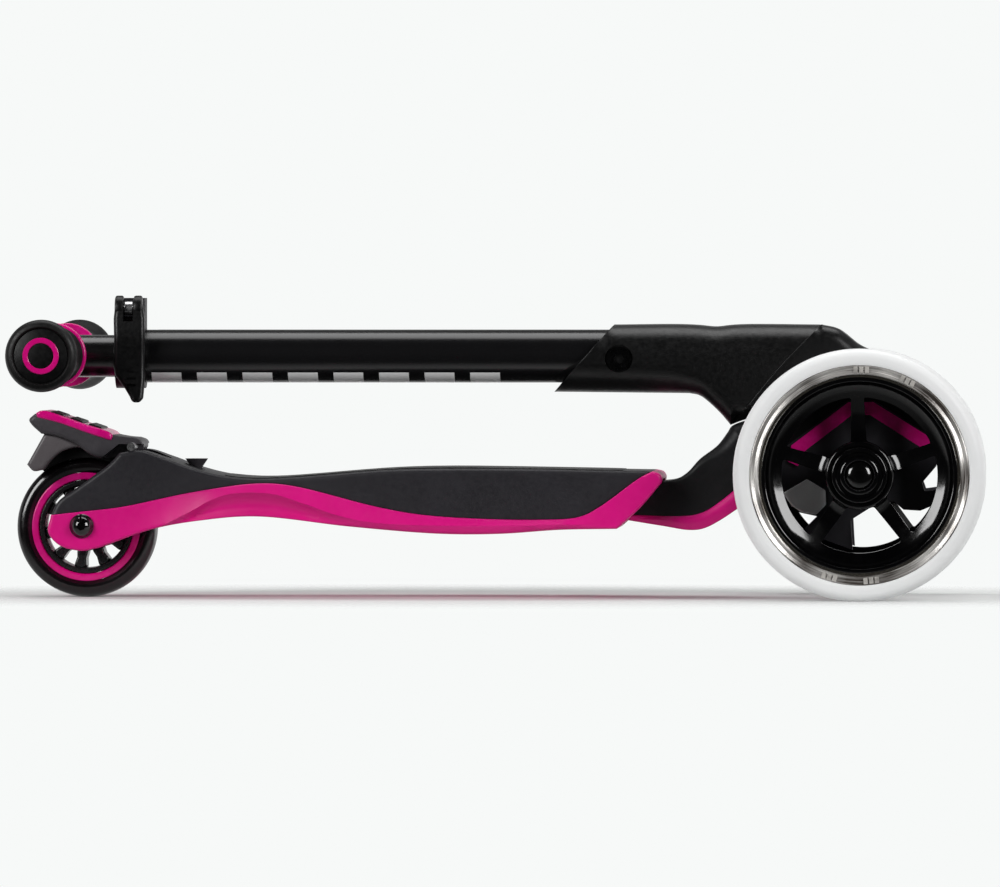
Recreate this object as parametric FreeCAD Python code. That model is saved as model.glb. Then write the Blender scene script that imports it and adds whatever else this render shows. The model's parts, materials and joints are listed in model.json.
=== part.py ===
import FreeCAD, Part
import math
import os

# Folding three-wheel kick scooter for a child, in its folded pose. Millimetres.
# +X points forward, +Z up, and the ground is z = 0. The XZ plane is the plane of symmetry.
# The stem lies back over the deck, and the handlebar is pushed in.
# Everything is drawn from one datum, and saved with the origin at the middle of the length.

V = FreeCAD.Vector
X_AXIS = V(1, 0, 0)
Y_AXIS = V(0, 1, 0)
Z_AXIS = V(0, 0, 1)

# ---- driving dimensions ----
ORIGIN_SHIFT = V(3.0, 0, 0)
FIT = 0.05             # radial clearance of a running fit
SEAT = 0.02            # radial clearance of a fixed fit
GAP = 0.4              # gap between moving faces

REAR_AXLE = (-253.0, 42.5)      # (x, z)
REAR_WHEEL_R = 42.5
REAR_WHEEL_HALF = 14.0
REAR_RING_R = 32.9
REAR_HUB_R = 28.3
REAR_SPOKES = 10
FORK_IN = 20.0
FORK_OUT = 46.0
AXLE_R = 4.0
BEARING_R = 11.0
BEARING_T = 7.0

FRONT_AXLE = (214.5, 75.0)
FRONT_WHEEL_R = 75.0
FRONT_WHEEL_Y = 85.0
FRONT_WHEEL_HALF = 13.0
TYRE_IN_R = 65.5
LIGHT_IN_R = 59.8
RIM_R = 59.6
FRONT_SPOKES = 5
SPOKE_HALF = 3.8
WINDOW_R = (20.5, 46.5)
WINDOW_START = 55.5             # angle of the first window's middle, degrees
LED_PAIR_ANGLES = (76.0, 265.5)
LED_HALF_SPACING = 12.5

STEM_Z = 145.5
OUTER_TUBE_R = 16.0
OUTER_TUBE_WALL = 2.0
INNER_TUBE_R = 12.7
INNER_TUBE_WALL = 1.6
OUTER_TUBE_X = (-234.0, 112.0)
INNER_TUBE_END = 24.0
CLAMP_X = (-235.4, -217.8)
CLAMP_PIVOT = (-18.0, 174.0)    # (y, z)
BAR_X = -269.4
BAR_Z = 146.0
BAR_R = 11.1
BAR_HALF = 140.0
GRIP_START = 45.0

PIVOT = (195.0, 130.0)          # fold hinge (x, z)
TONGUE_HALF = 13.4
CHEEK_IN = 14.0
COLUMN_HALF = 22.0
COLUMN_BOLT = (68.9, 144.0)

KINGPIN_FOOT = (201.8, 87.7)    # nearest point of the kingpin line to the front axle
KINGPIN_R = 5.0
KINGPIN_DIR = V(math.sqrt(0.5), 0, math.sqrt(0.5))

RAIL_X = (-200.0, 92.0)
RAIL_HALF = 20.0
RAIL_Z = (52.0, 64.0)
NECK_HALF = 29.0
NECK_START = 72.0

FENDER_PIN = (-223.4, 91.1)
FENDER_HALF = 30.0
SHOE_GAP = 4.0
MAT_PROUD = 0.5
MAT_DEPTH = 1.2
LATCH_X = -187.0

# ---- outlines in the XZ plane, points as (x, z) ----
DECK_TOP = [(-230.2, 87.6), (-218.4, 89.0), (-204.7, 84.8), (-186.7, 78.3), (-168.8, 73.9),
            (-147.8, 72.1), (-120.9, 73.3), (-67.1, 77.5), (0.0, 78.1), (70.6, 76.9), (89.8, 76.6)]
DECK_SPLIT = [(-271.5, 50.0), (-255.4, 51.8), (-229.6, 54.8), (-186.6, 63.7), (-147.7, 69.1),
              (-126.8, 67.9), (-72.9, 54.8), (-43.0, 50.0), (22.8, 47.6), (46.7, 49.4),
              (58.7, 55.4), (82.6, 72.7), (89.8, 76.6)]
DECK_BOTTOM = [(-243.6, 30.2), (-210.7, 41.6), (-180.7, 47.0), (-147.8, 49.4), (-91.0, 43.4),
               (-37.1, 39.2), (-1.2, 39.2), (34.7, 41.6), (68.8, 42.2)]
DECK_SCREWS = [(-147.8, 49.4), (-60.0, 40.6), (20.0, 40.4)]
DECK_WIDTH = [(-276.0, 46.0), (-205.0, 46.0), (-150.0, 50.0), (-60.0, 55.0), (20.0, 54.0), (97.0, 50.0)]

NECK_TOP = [(NECK_START, 69.8), (96.0, 70.5), (104.0, 71.8), (110.6, 75.9), (117.8, 83.7),
            (128.6, 92.1), (134.6, 100.0)]
NECK_SPLIT = [(NECK_START, 50.4), (96.0, 49.5), (107.0, 49.5), (114.0, 50.1), (121.4, 52.5),
              (135.8, 62.7), (150.0, 76.0), (172.0, 100.0)]
NECK_BOTTOM = [(NECK_START, 47.4), (96.0, 43.5), (112.0, 41.1), (121.0, 42.3), (139.4, 53.1),
               (150.0, 62.0), (160.0, 71.0)]

COLUMN_SEAM = [(143.1, 111.8), (166.5, 140.2), (190.7, 164.6)]
TRUCK_PLATE = [(165.5, 75.0), (170.5, 92.0), (207.0, 119.0), (223.0, 119.0), (263.0, 94.0),
               (260.0, 80.0), (251.5, 70.0), (253.3, 65.0), (260.5, 66.0), (261.5, 58.0),
               (250.5, 53.4), (240.5, 54.0), (234.5, 59.0), (224.0, 57.3), (209.0, 47.8),
               (210.0, 30.0), (180.0, 41.0), (189.0, 50.0), (178.5, 52.3), (173.0, 56.1), (167.5, 64.0)]


# ---- helpers ----
def box(x0, x1, y0, y1, z0, z1):
    return Part.makeBox(x1 - x0, y1 - y0, z1 - z0, V(x0, y0, z0))


def rod_y(radius, y0, y1, centre):
    """Cylinder along Y from y0 to y1, centred on (x, z)."""
    return Part.makeCylinder(radius, y1 - y0, V(centre[0], y0, centre[1]), Y_AXIS)


def ring_y(outer, inner, y0, y1, centre):
    return rod_y(outer, y0, y1, centre).cut(rod_y(inner, y0 - 1, y1 + 1, centre))


def tube_x(outer, inner, x0, x1, z):
    hole = Part.makeCylinder(inner, x1 - x0 + 2, V(x0 - 1, 0, z), X_AXIS)
    return Part.makeCylinder(outer, x1 - x0, V(x0, 0, z), X_AXIS).cut(hole)


def along(start, direction, radius, s0, s1):
    """Cylinder on the line through start, from s0 to s1 along it."""
    base = start + direction * s0
    return Part.makeCylinder(radius, s1 - s0, base, direction)


def face_xz(*runs):
    """Flat face in the XZ plane. A run of two points is a line, and a longer run is a smooth curve."""
    edges = []
    for run in runs:
        points = [V(x, 0, z) for x, z in run]
        if len(points) == 2:
            edges.append(Part.LineSegment(points[0], points[1]).toShape())
        else:
            curve = Part.BSplineCurve()
            curve.interpolate(points)
            edges.append(curve.toShape())
    return Part.Face(Part.Wire(edges))


def slab(face, y0, y1):
    moved = face.copy()
    moved.translate(V(0, y0, 0))
    return moved.extrude(V(0, y1 - y0, 0))


def plate(points, y0, y1):
    """Straight-sided plate with the outline points in XZ."""
    wire = Part.makePolygon([V(x, y0, z) for x, z in points + points[:1]])
    return Part.Face(wire).extrude(V(0, y1 - y0, 0))


def turned(points, centre):
    """Solid turned about the Y line through centre. points are (radius, y)."""
    wire = Part.makePolygon([V(centre[0] + r, y, centre[1]) for r, y in points + points[:1]])
    return Part.Face(wire).revolve(V(centre[0], 0, centre[1]), Y_AXIS, 360)


def hexagon_y(radius, centre, y0, y1):
    """Six-sided bar along Y, for a key socket."""
    turns = [math.radians(60 * k) for k in range(6)]
    points = [(centre[0] + radius * math.cos(t), centre[1] + radius * math.sin(t)) for t in turns]
    return plate(points, y0, y1)


def mirrored(shape):
    return shape.mirror(V(0, 0, 0), Y_AXIS)


def both_sides(shape):
    return Part.makeCompound([shape, mirrored(shape)])


def cut_all(shape, *tools):
    for tool in tools:
        shape = shape.cut(tool)
    return shape


def spun(shape, centre, degrees):
    copy = shape.copy()
    copy.rotate(V(centre[0], 0, centre[1]), Y_AXIS, -degrees)
    return copy


def save(name, shape):
    solids = [s for s in shape.Solids if s.Volume > 1.0]
    result = solids[0] if len(solids) == 1 else Part.makeCompound(solids)
    if not result.isValid():
        print("not valid:", name)
    result = result.translated(ORIGIN_SHIFT)
    result.exportStep("parts/" + name + ".step")
    print(f"{name}: {len(solids)} solid(s), {sum(s.Volume for s in solids) / 1000:.1f} cm3")


# ---- shared volumes ----
def plan_volume():
    """Everything inside the deck's outline seen from above."""
    sides = []
    for sign in (1, -1):
        curve = Part.BSplineCurve()
        curve.interpolate([V(x, sign * w, 0) for x, w in DECK_WIDTH])
        sides.append(curve.toShape())
    x0, w0 = DECK_WIDTH[0]
    x1, w1 = DECK_WIDTH[-1]
    rear = Part.LineSegment(V(x0, w0, 0), V(x0, -w0, 0)).toShape()
    front = Part.LineSegment(V(x1, w1, 0), V(x1, -w1, 0)).toShape()
    wire = Part.Wire(Part.__sortEdges__([sides[0], front, sides[1], rear]))
    return Part.Face(wire).extrude(V(0, 0, 130))


def wheel_slot():
    """Room for the rear wheel between the fork arms, with a round front end."""
    front = Part.makeCylinder(FORK_IN, 130, V(-222, 0, 0), Z_AXIS)
    return box(-300, -222, -FORK_IN, FORK_IN, 0, 130).fuse(front)


def rail_tunnel():
    return box(-206, 130, -RAIL_HALF - GAP, RAIL_HALF + GAP, RAIL_Z[0] - GAP, RAIL_Z[1] + GAP)


def neck_mouth():
    return box(NECK_START - 1, 130, -NECK_HALF - GAP, NECK_HALF + GAP, 42.6, 71.6)


def deck_cavity():
    """Room left inside the deck on each side of the rail, with a boss round each screw."""
    floor = [(-140.0, 52.5), (-91.0, 47.4), (-37.0, 43.2), (0.0, 43.2), (35.0, 45.6), (62.0, 46.2)]
    room = plate(floor + [(62.0, 69.0), (-60.0, 71.0), (-140.0, 67.0)], 24, 46)
    bosses = [Part.makeCylinder(6.5, 60, V(x, 36, 30), Z_AXIS) for x, z in DECK_SCREWS]
    return both_sides(cut_all(room, *bosses))


# ---- deck ----
def mat_volume():
    """Rubber mat let into the deck's top, standing a little proud of it."""
    top = [(x, z + MAT_PROUD) for x, z in DECK_TOP]
    low = [(x, z - MAT_DEPTH) for x, z in reversed(DECK_TOP)]
    face = face_xz(top, [top[-1], low[0]], low, [low[-1], top[0]])
    blank = box(-168, 72, -42, 42, 60, 90)
    upright = [e for e in blank.Edges if abs(e.Vertexes[0].Z - e.Vertexes[-1].Z) > 1]
    return slab(face, -60, 60).common(blank.makeFillet(14, upright))


def deck_screws():
    screws = []
    for x, z in DECK_SCREWS:
        for y in (-36, 36):
            head = Part.makeCylinder(3.6, 2.4, V(x, y, z + 0.8), Z_AXIS)
            shank = Part.makeCylinder(1.8, 10, V(x, y, z + 3.2), Z_AXIS)
            screws.append(head.fuse(shank))
    return Part.makeCompound(screws)


def screw_wells():
    wells = [Part.makeCylinder(3.8, 6, V(x, y, z - 2.8), Z_AXIS) for x, z in DECK_SCREWS for y in (-36, 36)]
    return Part.makeCompound(wells)


def deck_cover(mat, screws):
    rear = [DECK_TOP[0], DECK_SPLIT[0]]
    body = slab(face_xz(DECK_TOP, DECK_SPLIT[::-1], rear[::-1]), -60, 60).common(plan_volume())
    knuckle_room = rod_y(6.4, -FENDER_HALF - GAP, FENDER_HALF + GAP, FENDER_PIN)
    latch_bore = Part.makeCylinder(3.1, 40, V(LATCH_X, 0, 60), Z_AXIS)
    latch_room = Part.makeCylinder(5.4, 9.5, V(LATCH_X, 0, 65.5), Z_AXIS)
    knob_dish = Part.makeCylinder(7.8, 20, V(LATCH_X, 0, 76.9), Z_AXIS)
    pin_bore = rod_y(2.5 + SEAT, -50, 50, FENDER_PIN)
    body = cut_all(body, wheel_slot(), rail_tunnel(), neck_mouth(), knuckle_room, pin_bore)
    return cut_all(body, latch_bore, latch_room, knob_dish, mat, screws, deck_cavity())


def deck_frame(screws):
    """Lower tray and fork of the deck, with a raised rim round the mouth at the front."""
    x, z = REAR_AXLE
    nose = [DECK_SPLIT[0], (-273.6, 40.0), (-264.5, 31.2), (-253.0, 28.6), DECK_BOTTOM[0]]
    rim = [DECK_BOTTOM[-1], (82.5, 54.7), (95.7, 70.6), (95.0, 74.4), DECK_SPLIT[-1]]
    face = face_xz(DECK_SPLIT, [DECK_SPLIT[-1], rim[3]], [rim[3], rim[2]], [rim[2], rim[1]],
                   [rim[1], rim[0]], DECK_BOTTOM[::-1], nose[::-1])
    body = slab(face, -60, 60).common(plan_volume())
    axle_hole = rod_y(AXLE_R + SEAT, -60, 60, (x, z))
    body = cut_all(body, wheel_slot(), rail_tunnel(), neck_mouth(), axle_hole)
    return cut_all(body, screws, screw_wells(), deck_cavity())


def rear_axle_nuts():
    """Domed cap nuts on the ends of the rear axle."""
    shell = turned([(0, 55.5), (4.2, 54.4), (6.6, 52.0), (7.6, 48.6), (7.8, 46.05), (0, 46.05)], REAR_AXLE)
    return both_sides(shell.cut(rod_y(AXLE_R + SEAT, 40, 50.2, REAR_AXLE)))


def torsion_spring():
    """Coil round the fender's hinge pin."""
    helix = Part.makeHelix(1.6, 11.2, 4.4)
    helix.rotate(V(0, 0, 0), X_AXIS, -90)
    helix.translate(V(FENDER_PIN[0], -5.6, FENDER_PIN[1]))
    start = helix.Vertexes[0].Point
    circle = Part.Wire(Part.makeCircle(0.6, start, V(0, 0, 1)))
    return Part.Wire(helix).makePipeShell([circle], True, True)


# ---- rear wheel ----
def bearing(y0, y1, centre):
    return ring_y(BEARING_R, AXLE_R + FIT, y0, y1, centre)


def rear_tyre():
    r = REAR_WHEEL_R
    h = REAR_WHEEL_HALF
    profile = [(REAR_RING_R, -h + 1), (r - 5, -h), (r - 1.8, -h + 4), (r, -4), (r, 4),
               (r - 1.8, h - 4), (r - 5, h), (REAR_RING_R, h - 1)]
    return turned(profile, REAR_AXLE)


def rear_hub():
    """Spoked core of the rear wheel, with a seat for a bearing on each side."""
    body = ring_y(REAR_HUB_R, BEARING_R + SEAT, -12, 12, REAR_AXLE)
    body = body.fuse(ring_y(BEARING_R + 2, AXLE_R + 1.5, -4.9, 4.9, REAR_AXLE))
    web = 360 / REAR_SPOKES
    window = ring_y(24.7, 14.0, -13, 13, REAR_AXLE)
    for k in range(REAR_SPOKES):
        spoke = plate([(REAR_AXLE[0] + 12, REAR_AXLE[1] - 1.4), (REAR_AXLE[0] + 27, REAR_AXLE[1] - 1.4),
                       (REAR_AXLE[0] + 27, REAR_AXLE[1] + 1.4), (REAR_AXLE[0] + 12, REAR_AXLE[1] + 1.4)], -14, 14)
        window = window.cut(spun(spoke, REAR_AXLE, 9 + k * web))
    return body.cut(window)


# ---- fender ----
def fender_body():
    """Foot brake over the rear wheel, hinged at its front."""
    x, z = FENDER_PIN
    top = [(-224.0, 96.2), (-236.2, 97.6), (-266.2, 107.6), (-278.0, 110.6)]
    back = [(-278.0, 110.6), (-285.4, 106.0), (-284.0, 101.5), (-279.5, 93.0)]
    tail = [(-279.5, 93.0), (-286.8, 80.0)]
    lip = [(-286.8, 80.0), (-283.5, 76.6), (-277.0, 76.8)]
    arch = [(-277.0, 76.8), (-270.0, 86.4), (-253.0, 91.2), (-236.0, 88.6), (-229.0, 86.0)]
    face = face_xz(top, back, tail, lip, arch, [arch[-1], top[0]])
    body = slab(face, -FENDER_HALF, FENDER_HALF)
    room = rod_y(REAR_WHEEL_R + SHOE_GAP + 1.6, -REAR_WHEEL_HALF - 3, REAR_WHEEL_HALF + 3, REAR_AXLE)
    body = body.fuse(rod_y(5.6, -FENDER_HALF, FENDER_HALF, FENDER_PIN))
    spring_room = rod_y(6.4, -7, 7, FENDER_PIN)
    body = cut_all(body, room, spring_room, rod_y(2.5 + FIT, -40, 40, FENDER_PIN))
    arm_room = deck_keep_out()
    return body.cut(both_sides(arm_room))


def deck_keep_out():
    """Space of the fork arms beside the fender, with room for the brake's travel."""
    wall = [(-232.0, 93.0), (-290.0, 47.0), (-290.0, 26.0), (-210.0, 26.0), (-210.0, 93.0)]
    keep = plate(wall, FORK_IN - 2, 60)
    return keep.cut(rod_y(6.0, 0, FENDER_HALF, FENDER_PIN))


def pad_volume():
    """Foot pad set into the fender's top."""
    low = [(-279.0, 107.6), (-266.7, 103.4), (-251.6, 98.2), (-237.0, 93.6)]
    high = [(-236.2, 98.4), (-252.0, 103.4), (-266.2, 108.4), (-279.4, 111.6)]
    face = face_xz(low, [low[-1], high[0]], high, [high[-1], low[0]])
    return slab(face, -24, 24)


def grip_bars():
    bars = []
    for x, z in ((-270.0, 109.9), (-258.5, 106.2), (-247.0, 102.5)):
        bar = box(x - 3.6, x + 3.6, -17, 17, z - 2.4, z + 0.4)
        bar.rotate(V(x, 0, z), Y_AXIS, 18)
        bars.append(bar)
    return bars


def brake_shoe():
    """Curved steel plate that rubs on the rear tyre when the fender is pressed."""
    inner = REAR_WHEEL_R + SHOE_GAP
    band = ring_y(inner + 1.6, inner, -11, 11, REAR_AXLE)
    x, z = REAR_AXLE
    return band.common(plate([(x, z), (x - 16, z + 60), (x + 14, z + 60)], -20, 20))


# ---- latch ----
def latch_knob():
    """Pull-up knob, narrow at its foot, on the deck's rear slope."""
    cone = Part.makeCone(2.6, 6.9, 6.4, V(LATCH_X, 0, 77.2), Z_AXIS)
    return cone.cut(Part.makeCylinder(1.8 + SEAT, 4.0, V(LATCH_X, 0, 77.2), Z_AXIS))


def latch_pin():
    pin = Part.makeCylinder(2.6, 12.5, V(LATCH_X, 0, RAIL_Z[1] + GAP), Z_AXIS)
    collar = Part.makeCylinder(4.8, 1.5, V(LATCH_X, 0, 66.0), Z_AXIS)
    tip = Part.makeCylinder(1.8, 4.2, V(LATCH_X, 0, 76.9), Z_AXIS)
    return pin.fuse(collar).fuse(tip)


# ---- neck ----
def beam_point(s, offset):
    """Point at s along the kingpin direction from the fold pivot, and offset forward and down from it."""
    d = math.sqrt(0.5)
    return (PIVOT[0] + d * s + d * offset, PIVOT[1] + d * s - d * offset)


def kingpin_base():
    return V(KINGPIN_FOOT[0], 0, KINGPIN_FOOT[1])


def kingpin_s(s, offset):
    """Point at s along the kingpin from its foot, and offset forward and down from its line."""
    d = math.sqrt(0.5)
    return (KINGPIN_FOOT[0] + d * s + d * offset, KINGPIN_FOOT[1] + d * s - d * offset)


UPPER_LUG = (6.5, 13.5)
LOWER_LUG = (-34.0, -26.0)
BARREL = (-21.6, 2.1)
LUG_R = 11.0


def neck_core():
    """Inner bracket: joins the rail, carries the kingpin, and ends in the tongue of the fold hinge."""
    r = TONGUE_HALF - 0.4
    tongue = [beam_point(0, -r), beam_point(-62, -r), (118, 70), (RAIL_X[1], 64), (RAIL_X[1], 52),
              (122, 54), beam_point(-60, r + 3), beam_point(0, r)]
    body = plate(tongue, -TONGUE_HALF, TONGUE_HALF).fuse(rod_y(r, -TONGUE_HALF, TONGUE_HALF, PIVOT))
    for s0, s1 in (UPPER_LUG, LOWER_LUG):
        arm = plate([kingpin_s(s0, 0), kingpin_s(s0, -26), kingpin_s(s1, -26), kingpin_s(s1, 0)], -LUG_R, LUG_R)
        body = body.fuse(arm).fuse(along(kingpin_base(), KINGPIN_DIR, LUG_R, s0, s1))
    body = body.cut(along(kingpin_base(), KINGPIN_DIR, KINGPIN_R + SEAT, -60, 40))
    return cut_all(body, rod_y(AXLE_R + SEAT, -30, 30, PIVOT), button_pocket(1.2)).removeSplitter()


def rail():
    outer = box(RAIL_X[0], RAIL_X[1], -RAIL_HALF, RAIL_HALF, RAIL_Z[0], RAIL_Z[1])
    inner = box(RAIL_X[0] - 1, RAIL_X[1] - 8, 2 - RAIL_HALF, RAIL_HALF - 2, RAIL_Z[0] + 2, RAIL_Z[1] - 2)
    return outer.cut(inner)


def neck_outline():
    shoulder = [NECK_TOP[-1], (137.5, 103.0)]
    crest = [(137.5, 103.0), (150.0, 105.4), (163.0, 105.6), (172.0, 100.0)]
    front = [(172.0, 100.0), (176.0, 88.0)]
    chin = [(176.0, 88.0), NECK_BOTTOM[-1]]
    stub = [NECK_BOTTOM[0], NECK_TOP[0]]
    return face_xz(NECK_TOP, shoulder, crest, front, chin, NECK_BOTTOM[::-1], stub)


def neck_lower_zone():
    low = [(NECK_SPLIT[0][0], 30.0), (200.0, 30.0), (200.0, 100.0), NECK_SPLIT[-1]]
    return face_xz(NECK_SPLIT, low[3:1:-1], low[2:0:-1], low[1::-1], [low[0], NECK_SPLIT[0]])


def neck_shells(core):
    """Upper cover and lower magenta frame of the neck, fitted round its inner bracket."""
    whole = slab(neck_outline(), -NECK_HALF, NECK_HALF)
    rail_box = box(RAIL_X[0], RAIL_X[1], -RAIL_HALF, RAIL_HALF, RAIL_Z[0], RAIL_Z[1])
    nut_room = along(kingpin_base(), KINGPIN_DIR, 13.4, -60, LOWER_LUG[0])
    truck_room = along(kingpin_base(), KINGPIN_DIR, 14.4, LOWER_LUG[1], 40)
    whole = cut_all(whole, core, rail_box, nut_room, truck_room)
    whole = whole.cut(button_pocket(GAP))
    zone = slab(neck_lower_zone(), -60, 60)
    return whole.cut(zone), whole.common(zone)


def button_shape(grow, low, high):
    """Rounded tablet square to the neck's slope, from low to high along its outward normal."""
    start = V(109.9, 0, 74.3)
    end = V(122.5, 0, 86.4)
    run = (end - start).normalize()
    normal = V(-run.z, 0, run.x)
    middle = (start + end) * 0.5
    tablet = Part.makeBox(15.4 + 2 * grow, 20 + 2 * grow, high - low, V(-7.7 - grow, -10 - grow, low))
    corners = [e for e in tablet.Edges if abs(e.Vertexes[0].Z - e.Vertexes[-1].Z) > 1]
    tablet = tablet.makeFillet(4 + grow, corners)
    tablet.rotate(V(0, 0, 0), Y_AXIS, -math.degrees(math.atan2(run.z, run.x)))
    tablet.translate(middle - normal * 1.8)
    return tablet, middle - normal * 1.8, normal


def button_pocket(grow):
    return button_shape(grow, -8.5, 14)[0]


def fold_button():
    tablet, foot, normal = button_shape(0, -3.5, 1.8)
    return tablet.cut(along(foot, normal, 3 + SEAT, -4, -2))


def lock_plunger():
    tablet, foot, normal = button_shape(0, -3.5, 1.8)
    return along(foot, normal, 3, -5.0, -2)


def fold_bolt():
    shank = rod_y(AXLE_R, -COLUMN_HALF - 1, COLUMN_HALF + 1, PIVOT)
    heads = both_sides(rod_y(7.5, COLUMN_HALF + GAP, COLUMN_HALF + 3.4, PIVOT))
    return shank.fuse(heads.Solids[0]).fuse(heads.Solids[1])


def kingpin():
    pin = along(kingpin_base(), KINGPIN_DIR, KINGPIN_R, LOWER_LUG[0] - 5, UPPER_LUG[1])
    head = along(kingpin_base(), KINGPIN_DIR, 8, UPPER_LUG[1], UPPER_LUG[1] + 4)
    nut = along(kingpin_base(), KINGPIN_DIR, 8, LOWER_LUG[0] - 6, LOWER_LUG[0])
    return pin.fuse(head).fuse(nut)


def steering_bushings():
    rings = []
    for s0, s1 in ((BARREL[1] + GAP, UPPER_LUG[0]), (LOWER_LUG[1], BARREL[0] - GAP)):
        outer = along(kingpin_base(), KINGPIN_DIR, 10.5, s0, s1)
        rings.append(outer.cut(along(kingpin_base(), KINGPIN_DIR, KINGPIN_R + SEAT, -60, 40)))
    return Part.makeCompound(rings)


# ---- truck ----
def truck_housing():
    """Cross beam round the front axle, with the kingpin barrel and an end plate behind each wheel."""
    barrel = along(kingpin_base(), KINGPIN_DIR, 13, BARREL[0], BARREL[1])
    beam = rod_y(13, -50, 50, FRONT_AXLE)
    plates = both_sides(plate(TRUCK_PLATE, 50, 61))
    body = barrel.fuse(beam).fuse(plates.Solids[0]).fuse(plates.Solids[1])
    body = body.fuse(both_sides(rod_y(15, 55, 68, FRONT_AXLE)))
    upper = along(kingpin_base(), KINGPIN_DIR, 14, BARREL[1], 60)
    lower = along(kingpin_base(), KINGPIN_DIR, 14, -70, BARREL[0])
    bore = along(kingpin_base(), KINGPIN_DIR, KINGPIN_R + FIT, -60, 60)
    return cut_all(body, upper, lower, bore, rod_y(AXLE_R + SEAT, -80, 80, FRONT_AXLE)).removeSplitter()


def truck_trim():
    """Bright gable strip on each end plate, over the axle."""
    outer = [(171.5, 83.0), (173.5, 92.4), (207.5, 118.2), (222.5, 118.2), (262.0, 93.8), (260.5, 86.0)]
    inner = [(252.0, 90.5), (220.5, 110.6), (210.0, 110.8), (180.5, 88.2), (177.5, 80.0)]
    return both_sides(plate(outer + inner, 61, 63))


def front_axle():
    return rod_y(AXLE_R, -94, 94, FRONT_AXLE)


def front_axle_screws():
    """Button-head screw with a hexagon socket on each end of the front axle."""
    head = turned([(0, 94.2), (8.8, 94.2), (8.8, 96.2), (6.6, 98.2), (0, 98.6)], FRONT_AXLE)
    return both_sides(head.cut(hexagon_y(2.9, FRONT_AXLE, 96, 102)))


def dynamo_magnets():
    """Fixed magnet rings that power the wheel lights."""
    return both_sides(ring_y(19, 15 + SEAT, 61.5, 67.5, FRONT_AXLE).cut(plate(TRUCK_PLATE, 60, 61.4)))


# ---- front wheels, made on the left side and mirrored for the right ----
def front_tyre():
    r = FRONT_WHEEL_R
    y = FRONT_WHEEL_Y
    h = FRONT_WHEEL_HALF
    profile = [(TYRE_IN_R, y - h), (r - 6, y - h), (r - 2, y - h + 4), (r, y - 4), (r, y + 4),
               (r - 2, y + h - 4), (r - 6, y + h), (TYRE_IN_R, y + h)]
    return turned(profile, FRONT_AXLE)


def led_boxes(grow):
    boxes = []
    for middle in LED_PAIR_ANGLES:
        for side in (-1, 1):
            x, z = FRONT_AXLE
            led = box(x + 61.0 - grow, x + 64.2 + grow, 90 - grow, 96 + grow, z - 4.5 - grow, z + 4.5 + grow)
            boxes.append(spun(led, FRONT_AXLE, middle + side * LED_HALF_SPACING))
    return boxes


def light_ring():
    y = FRONT_WHEEL_Y
    h = FRONT_WHEEL_HALF
    body = ring_y(TYRE_IN_R - SEAT, LIGHT_IN_R, y - h + 1, y + h - 0.6, FRONT_AXLE)
    return cut_all(body, *led_boxes(0.1))


def trim_ring():
    y = FRONT_WHEEL_Y + FRONT_WHEEL_HALF
    return ring_y(RIM_R + 0.1, RIM_R - 1.2, y - 3.0, y - 1.0, FRONT_AXLE)


def window_cutter():
    """One window between two straight-sided spokes, with rounded corners."""
    x, z = FRONT_AXLE
    ring = ring_y(WINDOW_R[1], WINDOW_R[0], 60, 110, FRONT_AXLE)
    reach = 80.0
    half = math.pi / FRONT_SPOKES
    apex = (x + SPOKE_HALF / math.sin(half), z)
    far = [(apex[0] + reach * math.cos(a), z + reach * math.sin(a)) for a in (-half, half)]
    blank = ring.common(plate([apex] + far, 60, 110))
    along_y = [e for e in blank.Edges if len(e.Vertexes) == 2 and abs(e.Vertexes[0].Y - e.Vertexes[1].Y) > 1]
    return blank.makeFillet(3, along_y)


def front_rim():
    """Deep dish with wide windows, a hub boss, and a seat for a bearing on each side."""
    y = FRONT_WHEEL_Y
    profile = [(RIM_R, y - 12), (RIM_R, y + 9.9), (RIM_R - 1.3, y + 9.9), (RIM_R - 1.3, y + 12),
               (57.2, y + 12), (53.0, y + 9), (46.0, y + 5.5), (32.0, y - 1), (22.0, y + 1), (17.6, y + 6),
               (16.8, y + 10), (13.0, y + 10), (13.0, y - 12), (18.0, y - 12), (18.0, y - 5.5),
               (32.0, y - 6.5), (46.0, y - 0.5), (54.0, y + 3), (55.5, y - 12)]
    body = turned(profile, FRONT_AXLE)
    window = window_cutter()
    for k in range(FRONT_SPOKES):
        body = body.cut(spun(window, FRONT_AXLE, WINDOW_START + k * 360 / FRONT_SPOKES))
    hub = ring_y(13.2, BEARING_R + SEAT, y - 12, y + 9, FRONT_AXLE)
    hub = hub.fuse(ring_y(BEARING_R + 1, AXLE_R + 2, y - 4.5, y + 1.5, FRONT_AXLE))
    return body.fuse(hub).removeSplitter()


def hub_cap():
    y = FRONT_WHEEL_Y
    return turned([(9.3, y + 10.1), (16.6, y + 10.1), (16.2, y + 11.6), (14.6, y + 12.6), (9.3, y + 12.6)],
                  FRONT_AXLE)


def front_bearings():
    y = FRONT_WHEEL_Y
    return Part.makeCompound([bearing(y - 11.6, y - 11.6 + BEARING_T, FRONT_AXLE),
                              bearing(y + 1.6, y + 1.6 + BEARING_T, FRONT_AXLE)])


# ---- column ----
def column_outline():
    foot = [(111.1, 123.2), (117.5, 120.6), (135.4, 104.9)]
    heel = [(135.4, 104.9), (140.0, 106.6), (163.0, 111.8), (185.0, 114.0), (195.0, 115.0)]
    boss = [(195.0, 115.0), (205.6, 119.4), (210.0, 130.0)]
    back = [(65.8, 164.2), (105.0, 164.8), (127.4, 163.3), (143.6, 164.8), (190.7, 164.6)]
    return face_xz([(29.7, 124.4), (111.1, 123.2)], foot, heel, boss, [(210.0, 130.0), (223.0, 148.4)],
                   [(223.0, 148.4), (190.7, 164.6)], back[::-1], [(65.8, 164.2), (29.7, 124.4)])


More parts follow.
